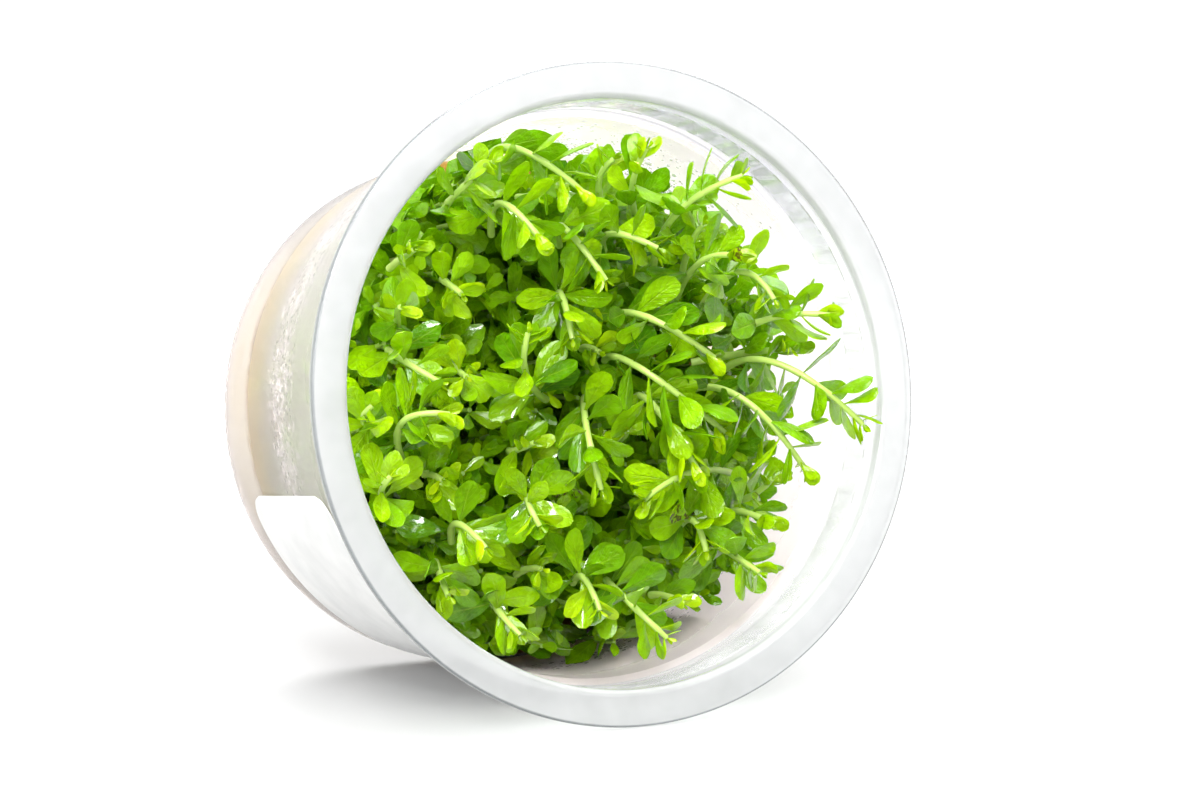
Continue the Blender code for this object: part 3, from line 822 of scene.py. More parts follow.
def set_agar():
    """Agar nutrient gel, set in the cup: milky cream and wet, and browned where the roots run."""
    material, tree = blank("agar nutrient gel, set in the cup")
    place = add(tree, "TexCoord").outputs["Object"]
    # Clouds of 5 mm, where roots have browned the gel
    clouds = add(tree, "TexNoise", {
        "Vector": place, "Scale": 1 / (5 * MM), "Detail": 4.0, "Roughness": 0.6,
    })
    shift = add(tree, "Math", {
        0: clouds, 1: 4 * MM, 2: depth_in_cup(tree, place),
    }, operation="MULTIPLY_ADD")
    brown = add(tree, "MapRange", {
        "Value": shift, "From Min": -54.5 * MM, "From Max": -52.5 * MM,
    }, interpolation_type="SMOOTHSTEP")
    shade = add(tree, "Mix", {
        "Factor": brown, "A": linear("C2BBA3"), "B": linear("846426"),
    }, data_type="RGBA")
    gel = add(tree, "BsdfPrincipled", {"Base Color": shade, "Roughness": 0.22, "IOR": 1.34})
    add(tree, "OutputMaterial", {"Surface": gel})
    return material


def grown_leaf(name, look):
    """Rotala leaf, grown in damp air: a waxy skin over fresh green tissue that lets light through.

    The tone attribute holds the leaf's age, a chance value of its own, and how far it has browned.
    """
    material, tree = blank(name)
    age, chance, browned = tone_of_plant(tree)
    where = add(tree, "TexCoord")
    place = where.outputs["Object"]
    across, along, _ = add(tree, "SeparateXYZ", {0: where.outputs["UV"]}).outputs
    # Patches of 2 mm within a leaf
    patches = add(tree, "TexNoise", {"Vector": place, "Scale": 1 / (2 * MM), "Detail": 3.0})
    young = add(tree, "MapRange", {"Value": age, "From Min": 0.0, "From Max": 0.5})
    old = add(tree, "MapRange", {"Value": age, "From Min": 0.5, "From Max": 1.0})
    first = add(tree, "Mix", {"Factor": young, "A": look.young, "B": look.mature}, data_type="RGBA")
    green = add(tree, "Mix", {"Factor": old, "A": first, "B": look.old}, data_type="RGBA")
    uneven = add(tree, "Math", {0: patches, 1: 2.0, 2: chance}, operation="MULTIPLY_ADD")
    light = add(tree, "MapRange", {
        "Value": uneven, "From Min": 0.7, "From Max": 2.3, "To Min": 0.58, "To Max": 1.36,
    })
    hue = add(tree, "MapRange", {"Value": chance, "To Min": 0.52, "To Max": 0.485})
    varied = add(tree, "HueSaturation", {"Hue": hue, "Color": green, "Value": light})
    # The midrib takes the middle tenth of the blade and fades towards the tip
    off_middle = add(tree, "Math", {0: across, 1: 0.5}, operation="SUBTRACT")
    off = add(tree, "Math", {0: off_middle}, operation="ABSOLUTE")
    rib = add(tree, "MapRange", {
        "Value": off, "From Min": 0.0, "From Max": 0.05, "To Min": 1.0, "To Max": 0.0,
    }, interpolation_type="SMOOTHSTEP")
    fade = add(tree, "MapRange", {
        "Value": along, "From Min": 0.1, "From Max": 0.95, "To Min": 0.75, "To Max": 0.1,
    })
    midrib = add(tree, "Math", {0: rib, 1: fade}, operation="MULTIPLY")
    # About six side veins a side leave the midrib slanting forward
    slant = add(tree, "Math", {0: off, 1: -0.9, 2: along}, operation="MULTIPLY_ADD")
    veins = add(tree, "Math", {0: slant, 1: 0.085}, operation="PINGPONG")
    vein = add(tree, "MapRange", {
        "Value": veins, "From Min": 0.0, "From Max": 0.02, "To Min": 0.28, "To Max": 0.0,
    }, interpolation_type="SMOOTHSTEP")
    lines = add(tree, "Math", {0: midrib, 1: vein}, operation="MAXIMUM")
    veined = add(tree, "Mix", {"Factor": lines, "A": varied, "B": linear("CCEC38")}, data_type="RGBA")
    # Browning starts in spots of 0.8 mm
    spots = add(tree, "TexNoise", {"Vector": place, "Scale": 1 / (0.8 * MM), "Detail": 2.0})
    spotted = add(tree, "Math", {0: spots, 1: browned}, operation="ADD")
    brown = add(tree, "MapRange", {
        "Value": spotted, "From Min": 0.86, "From Max": 0.98,
    }, interpolation_type="SMOOTHSTEP")
    shade = add(tree, "Mix", {"Factor": brown, "A": veined, "B": linear("5A3A1C")}, data_type="RGBA")
    # The skin is quilted in cushions of 0.8 mm between the veins
    quilt = add(tree, "TexNoise", {"Vector": place, "Scale": 1 / (0.8 * MM), "Detail": 2.0})
    swell = add(tree, "Math", {0: lines, 1: -0.6, 2: quilt}, operation="MULTIPLY_ADD")
    bump = add(tree, "Bump", {"Height": swell, "Strength": 1.0, "Distance": 0.5 * MM})
    waxy = add(tree, "MapRange", {
        "Value": patches, "From Min": 0.3, "From Max": 0.7, "To Min": 0.12, "To Max": 0.2,
    })
    skin = add(tree, "BsdfPrincipled", {
        "Base Color": shade, "Roughness": waxy, "IOR": 1.38, "Normal": bump, "Coat Weight": 1.0,
        "Coat Roughness": 0.09, "Coat IOR": 1.55,
    })
    glow = add(tree, "Mix", {"Factor": 0.4, "A": shade, "B": linear("C6E800")}, data_type="RGBA")
    add(tree, "OutputMaterial", {"Surface": lit_through(tree, skin, glow, 0.42)})
    return material


def grown_stem(name, look):
    """Rotala stem, juicy and ribbed: pale green, reddish in places, duller than the leaves."""
    material, tree = blank(name)
    age, _, flushed = tone_of_plant(tree)
    where = add(tree, "TexCoord")
    place = where.outputs["Object"]
    across, _, _ = add(tree, "SeparateXYZ", {0: where.outputs["UV"]}).outputs
    patches = add(tree, "TexNoise", {"Vector": place, "Scale": 1 / (3 * MM), "Detail": 3.0})
    older = add(tree, "Mix", {"Factor": age, "A": look.stem, "B": linear("6FA020")}, data_type="RGBA")
    flush = add(tree, "MapRange", {
        "Value": patches, "From Min": 0.6, "From Max": 0.85, "To Min": 0.0, "To Max": 0.25,
    })
    reddish = add(tree, "Math", {0: flush, 1: flushed}, operation="MULTIPLY")
    shade = add(tree, "Mix", {"Factor": reddish, "A": older, "B": linear("A8653C")}, data_type="RGBA")
    # Eight ribs run along the stem
    around = add(tree, "Math", {0: across, 1: 8 * math.tau}, operation="MULTIPLY")
    ribs = add(tree, "Math", {0: around}, operation="SINE")
    bump = add(tree, "Bump", {"Height": ribs, "Strength": 0.12, "Distance": 0.04 * MM})
    stem = add(tree, "BsdfPrincipled", {
        "Base Color": shade, "Roughness": 0.3, "IOR": 1.45, "Normal": bump, "Coat Weight": 0.4,
        "Coat Roughness": 0.05, "Coat IOR": 1.5,
    })
    add(tree, "OutputMaterial", {"Surface": lit_through(tree, stem, shade, 0.3)})
    return material


def grown_root(name, look):
    """Root, thin and matt: white where young and tan where old."""
    material, tree = blank(name)
    age, _, _ = tone_of_plant(tree)
    shade = add(tree, "Mix", {
        "Factor": age, "A": linear("E9DFC4"), "B": linear("8A6A3C"),
    }, data_type="RGBA")
    place = add(tree, "TexCoord").outputs["Object"]
    # Root hairs 0.3 mm apart
    hairs = add(tree, "TexNoise", {"Vector": place, "Scale": 1 / (0.3 * MM)})
    bump = add(tree, "Bump", {"Height": hairs, "Strength": 0.5, "Distance": 0.06 * MM})
    root = add(tree, "BsdfPrincipled", {"Base Color": shade, "Roughness": 0.62, "Normal": bump})
    add(tree, "OutputMaterial", {"Surface": root})
    return material


def condensed_water():
    """Condensed water in drops: clear, smooth and bright at the edge, with a share of white painted in as
    highlight.
    """
    material, tree = blank("condensed water, still drops")
    place = add(tree, "TexCoord").outputs["Object"]
    # A faint unevenness of 0.4 mm where drops have run together
    wet = add(tree, "TexNoise", {"Vector": place, "Scale": 1 / (0.4 * MM)})
    bump = add(tree, "Bump", {"Height": wet, "Strength": 0.05, "Distance": 0.02 * MM})
    # Painted highlight: a share of 0.15 is matt white, so that the drops show as bright specks
    water = add(tree, "BsdfPrincipled", {
        "Base Color": linear("FFFFFF"), "Roughness": 0.02, "IOR": 1.333, "Transmission Weight": 0.85,
        "Normal": bump,
    })
    see_through_shadow(tree, water, linear("FFFFFF"))
    return material


def painted_board():
    """Board sprayed with matt white paint, for the studio floor, with a painted glow."""
    material, tree = blank("board, sprayed matt white")
    place = add(tree, "TexCoord").outputs["Object"]
    # Spray texture of 0.6 mm
    spray = add(tree, "TexNoise", {"Vector": place, "Scale": 1 / (0.6 * MM)})
    bump = add(tree, "Bump", {"Height": spray, "Strength": 0.04, "Distance": 0.02 * MM})
    # Painted glow: the board gives off light of its own, weakest next to the object and strongest far off,
    # so that the far floor shows white and the floor round the object stays darker
    away = add(tree, "VectorMath", {0: place}, operation="LENGTH")
    glow = add(tree, "MapRange", {
        "Value": away, "From Min": 0.07, "From Max": 0.7, "To Min": 0.1, "To Max": 0.9,
    }, interpolation_type="SMOOTHSTEP")
    paint = add(tree, "BsdfPrincipled", {
        "Base Color": linear("B2B2B2"), "Roughness": 0.55, "Specular IOR Level": 0.25, "Normal": bump,
        "Emission Color": linear("FFFFFF"), "Emission Strength": glow,
    })
    add(tree, "OutputMaterial", {"Surface": paint})
    return material


class Growth:
    """Corners, faces, coordinates and tones of one joined piece, in millimetres of the cup's frame."""

    def __init__(self):
        self.corners = []
        self.faces = []
        self.kinds = []
        self.uvs = []
        self.tones = []

    def add(self, corners, faces, uvs, tone, kind):
        first = len(self.corners)
        self.corners += corners
        self.faces += [tuple(first + i for i in face) for face in faces]
        self.kinds += [kind] * len(faces)
        self.uvs += uvs
        self.tones += [(*tone, 1.0)] * len(corners)

    def made(self, name, materials):
        mesh = bpy.data.meshes.new(name)
        mesh.from_pydata([Vector(corner) * MM for corner in self.corners], [], self.faces)
        for material in materials:
            mesh.materials.append(material)
        mesh.polygons.foreach_set("material_index", self.kinds)
        layer = mesh.uv_layers.new(name="UVMap")
        for loop in mesh.loops:
            layer.data[loop.index].uv = self.uvs[loop.vertex_index]
        tone = mesh.color_attributes.new("tone", "FLOAT_COLOR", "POINT")
        tone.data.foreach_set("color", [value for tones in self.tones for value in tones])
        sharp(mesh, SHARP_PLANT_DEG)
        return placed(name, mesh)


def placed(name, mesh):
    """A piece that rides on the one body, its mesh moved from the cup's frame to the cup's place."""
    mesh.transform(CUP)
    made = bpy.data.objects.new(name, mesh)
    bpy.context.scene.collection.objects.link(made)
    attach(made, "root")
    return made


def modified(mesh, kind, **settings):
    """The mesh with a modifier applied, so that none is left on the piece."""
    carrier = bpy.data.objects.new("carrier", mesh)
    bpy.context.scene.collection.objects.link(carrier)
    modifier = carrier.modifiers.new("shape", kind)
    for name, value in settings.items():
        setattr(modifier, name, value)
    now = carrier.evaluated_get(bpy.context.evaluated_depsgraph_get())
    made = bpy.data.meshes.new_from_object(now)
    bpy.data.objects.remove(carrier)
    return made


def turned(name, profile, sides):
    """A turned mesh from its profile of (radius, z)."""
    mesh = bpy.data.meshes.new(name)
    points = [(r * MM, 0.0, z * MM) for r, z in profile]
    mesh.from_pydata(points, [(i, i + 1) for i in range(len(points) - 1)], [])
    mesh = modified(
        mesh, "SCREW", steps=sides, render_steps=sides, use_merge_vertices=True, merge_threshold=0.00001,
    )
    sharp(mesh, SHARP_MOULDING_DEG)
    return mesh


def sharp(mesh, angle_deg):
    """Marks the edges that turn more than the angle, so that smooth shading stops there."""
    bm = bmesh.new()
    bm.from_mesh(mesh)
    bmesh.ops.recalc_face_normals(bm, faces=bm.faces)
    for edge in bm.edges:
        edge.smooth = edge.calc_face_angle(0.0) < math.radians(angle_deg)
    for face in bm.faces:
        face.smooth = True
    bm.to_mesh(mesh)
    bm.free()


def body_profile():
    """The outer side of the cup's body, from the ledge to the foot."""
    ledge_root = arc(
        LEDGE_RADIUS + LEDGE_ROOT_ROUND, -LEDGE_DEPTH + 0.1, LEDGE_ROOT_ROUND, -100, -170, 3,
    )
    return ledge_root + arc(
        BASE_RADIUS - CORNER_ROUND, -CUP_DEPTH + CORNER_ROUND, CORNER_ROUND, 0, -90, 10,
    )


def cup_profile():
    """Inside floor, inner wall, rim and outer wall, with every moulded edge rounded."""
    floor_z = -CUP_DEPTH + FOOT_HEIGHT + FLOOR_THICKNESS
    inner_corner = CORNER_ROUND - WALL
    wall_foot_z = floor_z + inner_corner
    ledge_z = -LEDGE_DEPTH + LEDGE_STEP
    ledge_outer = LIP_RADIUS + WALL
    rim_half = RIM_THICKNESS / 2
    skirt_half = SKIRT_THICKNESS / 2
    skirt_root = RIM_RADIUS - SKIRT_THICKNESS - SKIRT_ROOT_ROUND
    profile = [(0.0, floor_z)]
    profile += arc(inner_radius(wall_foot_z) - inner_corner, wall_foot_z, inner_corner, -90, 0, 8)
    for z in (GEL_TOP, -LEDGE_DEPTH - 0.4):
        profile.append((inner_radius(z), z))
    profile += arc(LIP_RADIUS - LEDGE_INNER_ROUND, ledge_z, LEDGE_INNER_ROUND, -60, 0, 4)
    for bead_z in COLLAR_BEADS:
        for up, rise in ((-BEAD_HALF_HEIGHT, 0), (0, BEAD_RISE), (BEAD_HALF_HEIGHT, 0)):
            profile.append((LIP_RADIUS - rise, bead_z + up))
    profile += arc(LIP_RADIUS + LIP_ROUND, -LIP_ROUND, LIP_ROUND, 180, 90, 8)
    profile += arc(RIM_RADIUS - RIM_ROUND, -RIM_ROUND, RIM_ROUND, 90, 0, 6)
    profile += arc(RIM_RADIUS - skirt_half, -SKIRT_DEPTH + skirt_half, skirt_half, 0, -180, 8)
    profile += arc(skirt_root, -RIM_THICKNESS - SKIRT_ROOT_ROUND, SKIRT_ROOT_ROUND, 0, 90, 3)
    profile += arc(ledge_outer + rim_half, -RIM_THICKNESS - rim_half, rim_half, 90, 180, 4)
    profile.append((ledge_outer, ledge_z + 0.3))
    profile += arc(ledge_outer - LEDGE_OUTER_ROUND, ledge_z, LEDGE_OUTER_ROUND, 0, -70, 4)
    profile += body_profile()
    profile += arc(FOOT_INNER_RADIUS + FOOT_ROUND, -CUP_DEPTH + FOOT_ROUND, FOOT_ROUND, -90, -150, 3)
    for radius in (FOOT_INNER_RADIUS - FOOT_HEIGHT, 0.0):
        profile.append((radius, -CUP_DEPTH + FOOT_HEIGHT))
    return profile


def on_wall(angle_deg, z, inside_by):
    """A point on the wall's inner side, and the direction into the cup there."""
    angle = math.radians(angle_deg)
    out = Vector((math.cos(angle), math.sin(angle), 0))
    return out * (inner_radius(z) - inside_by) + Vector((0, 0, z)), -out


def add_drop(growth, place, normal, radius, height):
    """A drop on a wall: a low dome with a flat foot."""
    along = normal.cross(Vector((0, 0, 1))).normalized()
    up = along.cross(normal)
    corners = [place + normal * height]
    faces = []
    for lift_deg in (48, 0):
        lift = math.radians(lift_deg)
        for i in range(DROP_SIDES):
            turn = math.tau * i / DROP_SIDES
            flat = along * math.cos(turn) + up * math.sin(turn)
            corners.append(place + flat * (radius * math.cos(lift)) + normal * (height * math.sin(lift)))
    for i in range(DROP_SIDES):
        j = (i + 1) % DROP_SIDES
        faces.append((0, 1 + i, 1 + j))
        faces.append((1 + i, 1 + DROP_SIDES + i, 1 + DROP_SIDES + j, 1 + j))
    faces.append(tuple(1 + DROP_SIDES + i for i in reversed(range(DROP_SIDES))))
    growth.add(corners, faces, [(0.5, 0.5)] * len(corners), (0, 0, 0), 0)


def add_tube(growth, points, radii, sides, tone, kind):
    """A closed tube through the points, with a radius at each."""
    corners = []
    faces = []
    uvs = []
    side = None
    for i, point in enumerate(points):
        ahead = points[min(i + 1, len(points) - 1)]
        behind = points[max(i - 1, 0)]
        along = (ahead - behind).normalized()
        side = along.cross(SIDEWAYS_FROM) if side is None else side - along * side.dot(along)
        side.normalize()
        other = along.cross(side)
        for k in range(sides):
            turn = math.tau * k / sides
            corners.append(point + (side * math.cos(turn) + other * math.sin(turn)) * radii[i])
            uvs.append((k / sides, i / (len(points) - 1)))
        if i:
            faces += ring_faces((i - 1) * sides, sides)
    faces.append(tuple(reversed(range(sides))))
    last = (len(points) - 1) * sides
    faces.append(tuple(last + k for k in range(sides)))
    growth.add(corners, faces, uvs, tone, kind)


def blade_half_width(share, shape):
    """Half width of the blade along its length, from a narrow foot to a round or blunt tip."""
    widest = shape.rise / (shape.rise + shape.fall)
    peak = widest ** shape.rise * (1 - widest) ** shape.fall
    return max(share ** shape.rise * (1 - share) ** shape.fall / peak, BLADE_FOOT * (1 - share))


def off_the_wall(point):
    """The point, or the nearest one inside the cup: a leaf that reaches the wall bends along it."""
    most = inner_radius(point.z) - LEAF_OFF_WALL
    away = math.hypot(point.x, point.y)
    if point.z > 0 or away <= most:
        return point
    return Vector((point.x * most / away, point.y * most / away, point.z))


def add_blade(growth, leaf, shape, thickness, tone, grid):
    """A closed leaf blade: it bends along its length, folds at the midrib and rolls at its edges."""
    rows, columns = grid
    up = leaf.across.cross(leaf.direction).normalized()
    half = leaf.length * shape.width / 2
    upper = []
    lower = []
    uvs = []
    place = leaf.base.copy()
    step = leaf.length / rows
    for row in range(rows + 1):
        share = row / rows
        eased = 1 - (1 - share) ** 1.6 if row < rows else 1.0
        bend = shape.bend * eased
        along = leaf.direction * math.cos(bend) + up * math.sin(bend)
        normal = up * math.cos(bend) - leaf.direction * math.sin(bend)
        twist = shape.twist * eased
        across = leaf.across * math.cos(twist) + normal * math.sin(twist)
        normal = normal * math.cos(twist) - leaf.across * math.sin(twist)
        if row:
            place = place + along * step
        wide = half * blade_half_width(min(share, 0.985), shape)
        ragged = shape.lop + shape.ragged * math.sin(share * 11 + shape.phase)
        aside = across * (shape.sickle * leaf.length * share * share)
        for column in range(columns + 1):
            off = 2 * column / columns - 1
            wave = shape.wave * math.sin(share * 9 + shape.phase + (2 if off > 0 else 0)) * off * off
            lift = wide * (shape.fold * abs(off) - shape.roll * off * off + wave)
            middle = place + aside + across * (off * wide * (1 + ragged * off)) + normal * lift
            middle = off_the_wall(middle)
            body = thickness / 2 * math.sqrt(max(1 - off ** 4, 0)) * (0.6 + 0.4 * math.sin(math.pi * share))
            upper.append(middle + normal * body)
            lower.append(middle - normal * body)
            uvs.append((column / columns, share))
    add_sheet(growth, upper, lower, uvs, rows, columns, tone)


def add_sheet(growth, upper, lower, uvs, rows, columns, tone):
    """Joins an upper and a lower sheet at their edges into one closed solid."""
    across = columns + 1
    corners = upper + lower
    under = len(upper)

    def below(row, column):
        at_edge = column in (0, columns)
        return row * across + column + (0 if at_edge else under)

    faces = []
    for row in range(rows):
        for column in range(columns):
            a = row * across + column
            faces.append((a, a + 1, a + across + 1, a + across))
            faces.append((
                below(row, column), below(row + 1, column),
                below(row + 1, column + 1), below(row, column + 1),
            ))
    for row in (0, rows):
        ring = [row * across + column for column in range(across)]
        ring += [below(row, column) for column in reversed(range(1, columns))]
        faces.append(tuple(ring if row else reversed(ring)))
    growth.add(corners, faces, uvs + uvs, tone, LEAF_KIND)


class BladeShape:
    """How one blade differs from the flat outline; the angles are radians, the rest shares."""

    def __init__(self, chance, spread=1.0):
        self.width = LEAF_WIDTH_SHARE * chance.uniform(0.76, 1.04)
        self.rise = chance.uniform(0.9, 1.75)
        self.fall = chance.uniform(0.42, 0.68)
        self.bend = chance.uniform(-0.9, 0.5) * spread
        self.twist = chance.uniform(-0.45, 0.45) * spread
        self.fold = chance.uniform(0.05, 0.4)
        self.roll = chance.uniform(0.05, 0.48)
        self.wave = chance.uniform(0.0, 0.12)
        self.lop = chance.uniform(-0.1, 0.1)
        self.ragged = chance.uniform(0.0, 0.06)
        self.sickle = chance.uniform(-0.1, 0.1)
        self.phase = chance.uniform(0, math.tau)


def grow_visible_shoot(growth, shoot, chance, thickness):
    """The stem with the planned leaves, finer ones at its tip, and a bud between them."""
    stops = [shoot.reach[-1] * i / STEM_PARTS for i in range(STEM_PARTS + 1)]
    points = [shoot.at(stop)[0] for stop in stops]
    radii = []
    for stop in stops:
        near_node = min(abs(stop - node) for node in shoot.nodes)
        swell = 1 + NODE_SWELL * math.exp(-(near_node / NODE_REACH) ** 2)
        radii.append(shoot.radius(stop) * STEM_SLIMMER * swell)
    flush = chance.uniform(0.0, 1.0)
    add_tube(growth, points, radii, STEM_SIDES, (0.15, chance.random(), flush), STEM_KIND)
    for leaves, grid in ((shoot.leaves, LEAF_GRID), (shoot.more_leaves, MORE_LEAF_GRID)):
        for leaf in leaves:
            age = leaf.age + chance.uniform(-AGE_SPREAD, AGE_SPREAD)
            tone = (age, chance.random(), spot_chance(chance))
            add_blade(growth, leaf, BladeShape(chance), thickness, tone, grid)
    add_bud(growth, shoot, chance, thickness)


def spot_chance(chance):
    """How far a leaf has browned: nearly always not at all."""
    return chance.uniform(0.25, 0.4) if chance.random() < BROWNED_SHARE else 0.0


def add_bud(growth, shoot, chance, thickness):
    """Two pairs of small leaves that open at the very tip."""
    for level, (back, length, lift_deg) in enumerate(BUD_PAIRS):
        place, along = shoot.at(shoot.reach[-1] - back)
        out = shoot.side(0, level + 1)
        for side in (1, -1):
            lift = math.radians(lift_deg * chance.uniform(0.8, 1.2))
            leaf = Leaf(place, *pointing(along, out * side, lift), length * chance.uniform(0.85, 1.15))
            shape = BladeShape(chance, 0.5)
            tone = (chance.uniform(0.0, 0.12), chance.random(), 0.0)
            add_blade(growth, leaf, shape, thickness * 0.7, tone, BUD_LEAF_GRID)


def young_plans(count, chance):
    """Foot and tip of each young shoot, spread evenly over the gel like seeds in a flower head."""
    plans = []
    widest = inner_radius(GEL_TOP) - GROWTH_WALL_GAP - 1.5
    for i in range(count):
        turn = i * GOLDEN_TURN + chance.uniform(-0.25, 0.25)
        spread = math.sqrt((i + 0.5) / count)
        foot_r = widest * spread
        foot = Vector((foot_r * math.cos(turn), foot_r * math.sin(turn), GEL_TOP + GAP))
        top = GROWTH_TOP - chance.uniform(0.5, 7.0) - 4.0 * spread ** 6
        tip_r = min(foot_r * chance.uniform(0.96, 1.1), inner_radius(top) - GROWTH_WALL_GAP - 2)
        lean = turn + chance.uniform(-0.1, 0.1)
        tip = Vector((tip_r * math.cos(lean), tip_r * math.sin(lean), top))
        plans.append((foot, tip))
    return plans


def inside_growth(leaf):
    """The leaf, turned step by step until its tip lies inside the lower growth's room."""
    for _ in range(INWARD_TURNS):
        tip = leaf.base + leaf.direction * leaf.length
        if math.hypot(tip.x, tip.y) > inner_radius(tip.z) - GROWTH_WALL_GAP:
            inward = Vector((-tip.x, -tip.y, 0)).normalized()
            leaf.direction = (leaf.direction + inward * 0.45).normalized()
        elif tip.z > GROWTH_TOP:
            leaf.direction = (leaf.direction - Vector((0, 0, 0.3))).normalized()
        elif tip.z < GEL_TOP + 1:
            leaf.direction = (leaf.direction + Vector((0, 0, 0.4))).normalized()
        else:
            break
        leaf.across = (leaf.across - leaf.direction * leaf.across.dot(leaf.direction)).normalized()
    return leaf


def grow_young_shoot(growth, foot, tip, chance, thickness):
    """A young shoot: a thin wavering stem with crossed pairs of leaves up its whole length."""
    middle = (foot + tip) / 2 + Vector((chance.uniform(-2, 2), chance.uniform(-2, 2), 0))
    points = bent(foot, middle, tip, YOUNG_PARTS)
    thick, thin = YOUNG_STEM_RADII
    radii = [thick - (thick - thin) * i / YOUNG_PARTS for i in range(YOUNG_PARTS + 1)]
    tone = (0.5, chance.random(), chance.random())
    add_tube(growth, points, radii, YOUNG_STEM_SIDES, tone, STEM_KIND)
    along = (points[-1] - points[0]).normalized()
    level = sideways(along)
    turn = chance.uniform(0, math.tau)
    length = (tip - foot).length
    for number, (back, size, lift_deg) in enumerate(YOUNG_PAIRS):
        if back > length - 3:
            break
        base = points[-1].lerp(points[0], back / length)
        out = Matrix.Rotation(turn + math.radians(90) * number, 3, along) @ level
        for side in (1, -1):
            lift = math.radians(lift_deg + chance.uniform(-12, 12))
            leaf = Leaf(base, *pointing(along, out * side, lift), size * chance.uniform(0.8, 1.1))
            # Lower pairs are older and darker green, as leaves age; their ages also start high so that the
            # deep growth reads darker, a painted shade
            age = min(0.42 + 0.1 * number + chance.uniform(-AGE_SPREAD, 0.15), 1.0)
            tone = (max(age, 0.1), chance.random(), spot_chance(chance))
            add_blade(growth, inside_growth(leaf), BladeShape(chance), thickness, tone, YOUNG_LEAF_GRID)


def add_roots(growth, chance):
    """Roots that wander over and just above the gel."""
    for _ in range(ROOTS):
        turn = chance.uniform(0, math.tau)
        away = (inner_radius(GEL_TOP) - 3) * math.sqrt(chance.random())
        place = Vector((away * math.cos(turn), away * math.sin(turn), GEL_TOP + chance.uniform(0.6, 5)))
        heading = chance.uniform(0, math.tau)
        points = [place]
        for _ in range(ROOT_STEPS):
            heading += chance.uniform(-0.6, 0.6)
            step = Vector((math.cos(heading), math.sin(heading), chance.uniform(-0.35, 0.3))) * ROOT_STEP
            ahead = points[-1] + step
            ahead.z = min(max(ahead.z, GEL_TOP + 0.5), GEL_TOP + ROOT_LIFT)
            if math.hypot(ahead.x, ahead.y) > inner_radius(ahead.z) - GROWTH_WALL_GAP:
                heading += math.pi / 2
                continue
            points.append(ahead)
        if len(points) > 3:
            radii = [0.32 - 0.2 * i / len(points) for i in range(len(points))]
            add_tube(growth, points, radii, ROOT_SIDES, (chance.random(), 0, 0), ROOT_KIND)


def add_old_leaves(growth, chance, thickness):
    """Browned leaves that lie low among the stems."""
    for _ in range(OLD_LEAVES):
        turn = chance.uniform(0, math.tau)
        away = (inner_radius(GEL_TOP) - 6) * math.sqrt(chance.random())
        base = Vector((away * math.cos(turn), away * math.sin(turn), chance.uniform(*OLD_LEAF_DEPTHS)))
        direction = Vector((chance.uniform(-1, 1), chance.uniform(-1, 1), chance.uniform(-0.6, 0.4)))
        direction.normalize()
        leaf = Leaf(base, direction, sideways(direction), chance.uniform(*OLD_LEAF_LENGTHS))
        tone = (1.0, chance.random(), chance.uniform(0.4, 0.6))
        add_blade(growth, inside_growth(leaf), BladeShape(chance, 1.6), thickness, tone, YOUNG_LEAF_GRID)


class ROTALA_OT_cup(bpy.types.Operator):
    """Make the moulded cup with its rim, ledge and foot ring"""

    bl_idname = "rotala.cup"
    bl_label = "Cup"

    def execute(self, context):
        look = context.scene.rotala_cup_look
        mesh = turned("moulded_cup", cup_profile(), CUP_SIDES)
        for material in (moulded_polypropylene(look), fogged_polypropylene(look)):
            mesh.materials.append(material)
        for face in mesh.polygons:
            inward = face.normal.dot(Vector((face.center.x, face.center.y, 0))) < 0
            if inward and GEL_TOP * MM < face.center.z < -LEDGE_DEPTH * MM:
                face.material_index = 1
        cup = placed("moulded_cup", mesh)
        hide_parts("cup")
        return {"FINISHED"}


class ROTALA_OT_drops(bpy.types.Operator):
    """Make the condensation drops on the inside of the wall"""

    bl_idname = "rotala.drops"
    bl_label = "Condensation drops"

    def execute(self, context):
        look = context.scene.rotala_cup_look
        chance = random.Random("drops")
        drops = Growth()
        for _ in range(look.drops):
            z = chance.gauss(WET_BAND_MIDDLE, WET_BAND_SPREAD)
            if not GEL_TOP + DROP_CLEAR_OF_ENDS[0] < z < -LEDGE_DEPTH - DROP_CLEAR_OF_ENDS[1]:
                continue
            place, normal = on_wall(chance.uniform(*DROP_TURNS_DEG), z, DROP_OFF_WALL)
            radius = min(chance.lognormvariate(*DROP_SIZE_SPREAD), DROP_WIDEST)
            add_drop(drops, place, normal, radius, radius * chance.uniform(*DROP_HEIGHT_SHARES))
        for _ in range(FINE_DROPS):
            turn_deg = chance.gauss(*FINE_DROP_TURN_DEG)
            place, normal = on_wall(turn_deg, chance.uniform(*FINE_DROP_DEPTHS), DROP_OFF_WALL)
            radius = chance.uniform(*FINE_DROP_RADII)
            add_drop(drops, place, normal, radius, radius * FINE_DROP_HEIGHT_SHARE)
        made = drops.made("condensation_drops", [condensed_water()])
        return {"FINISHED"}


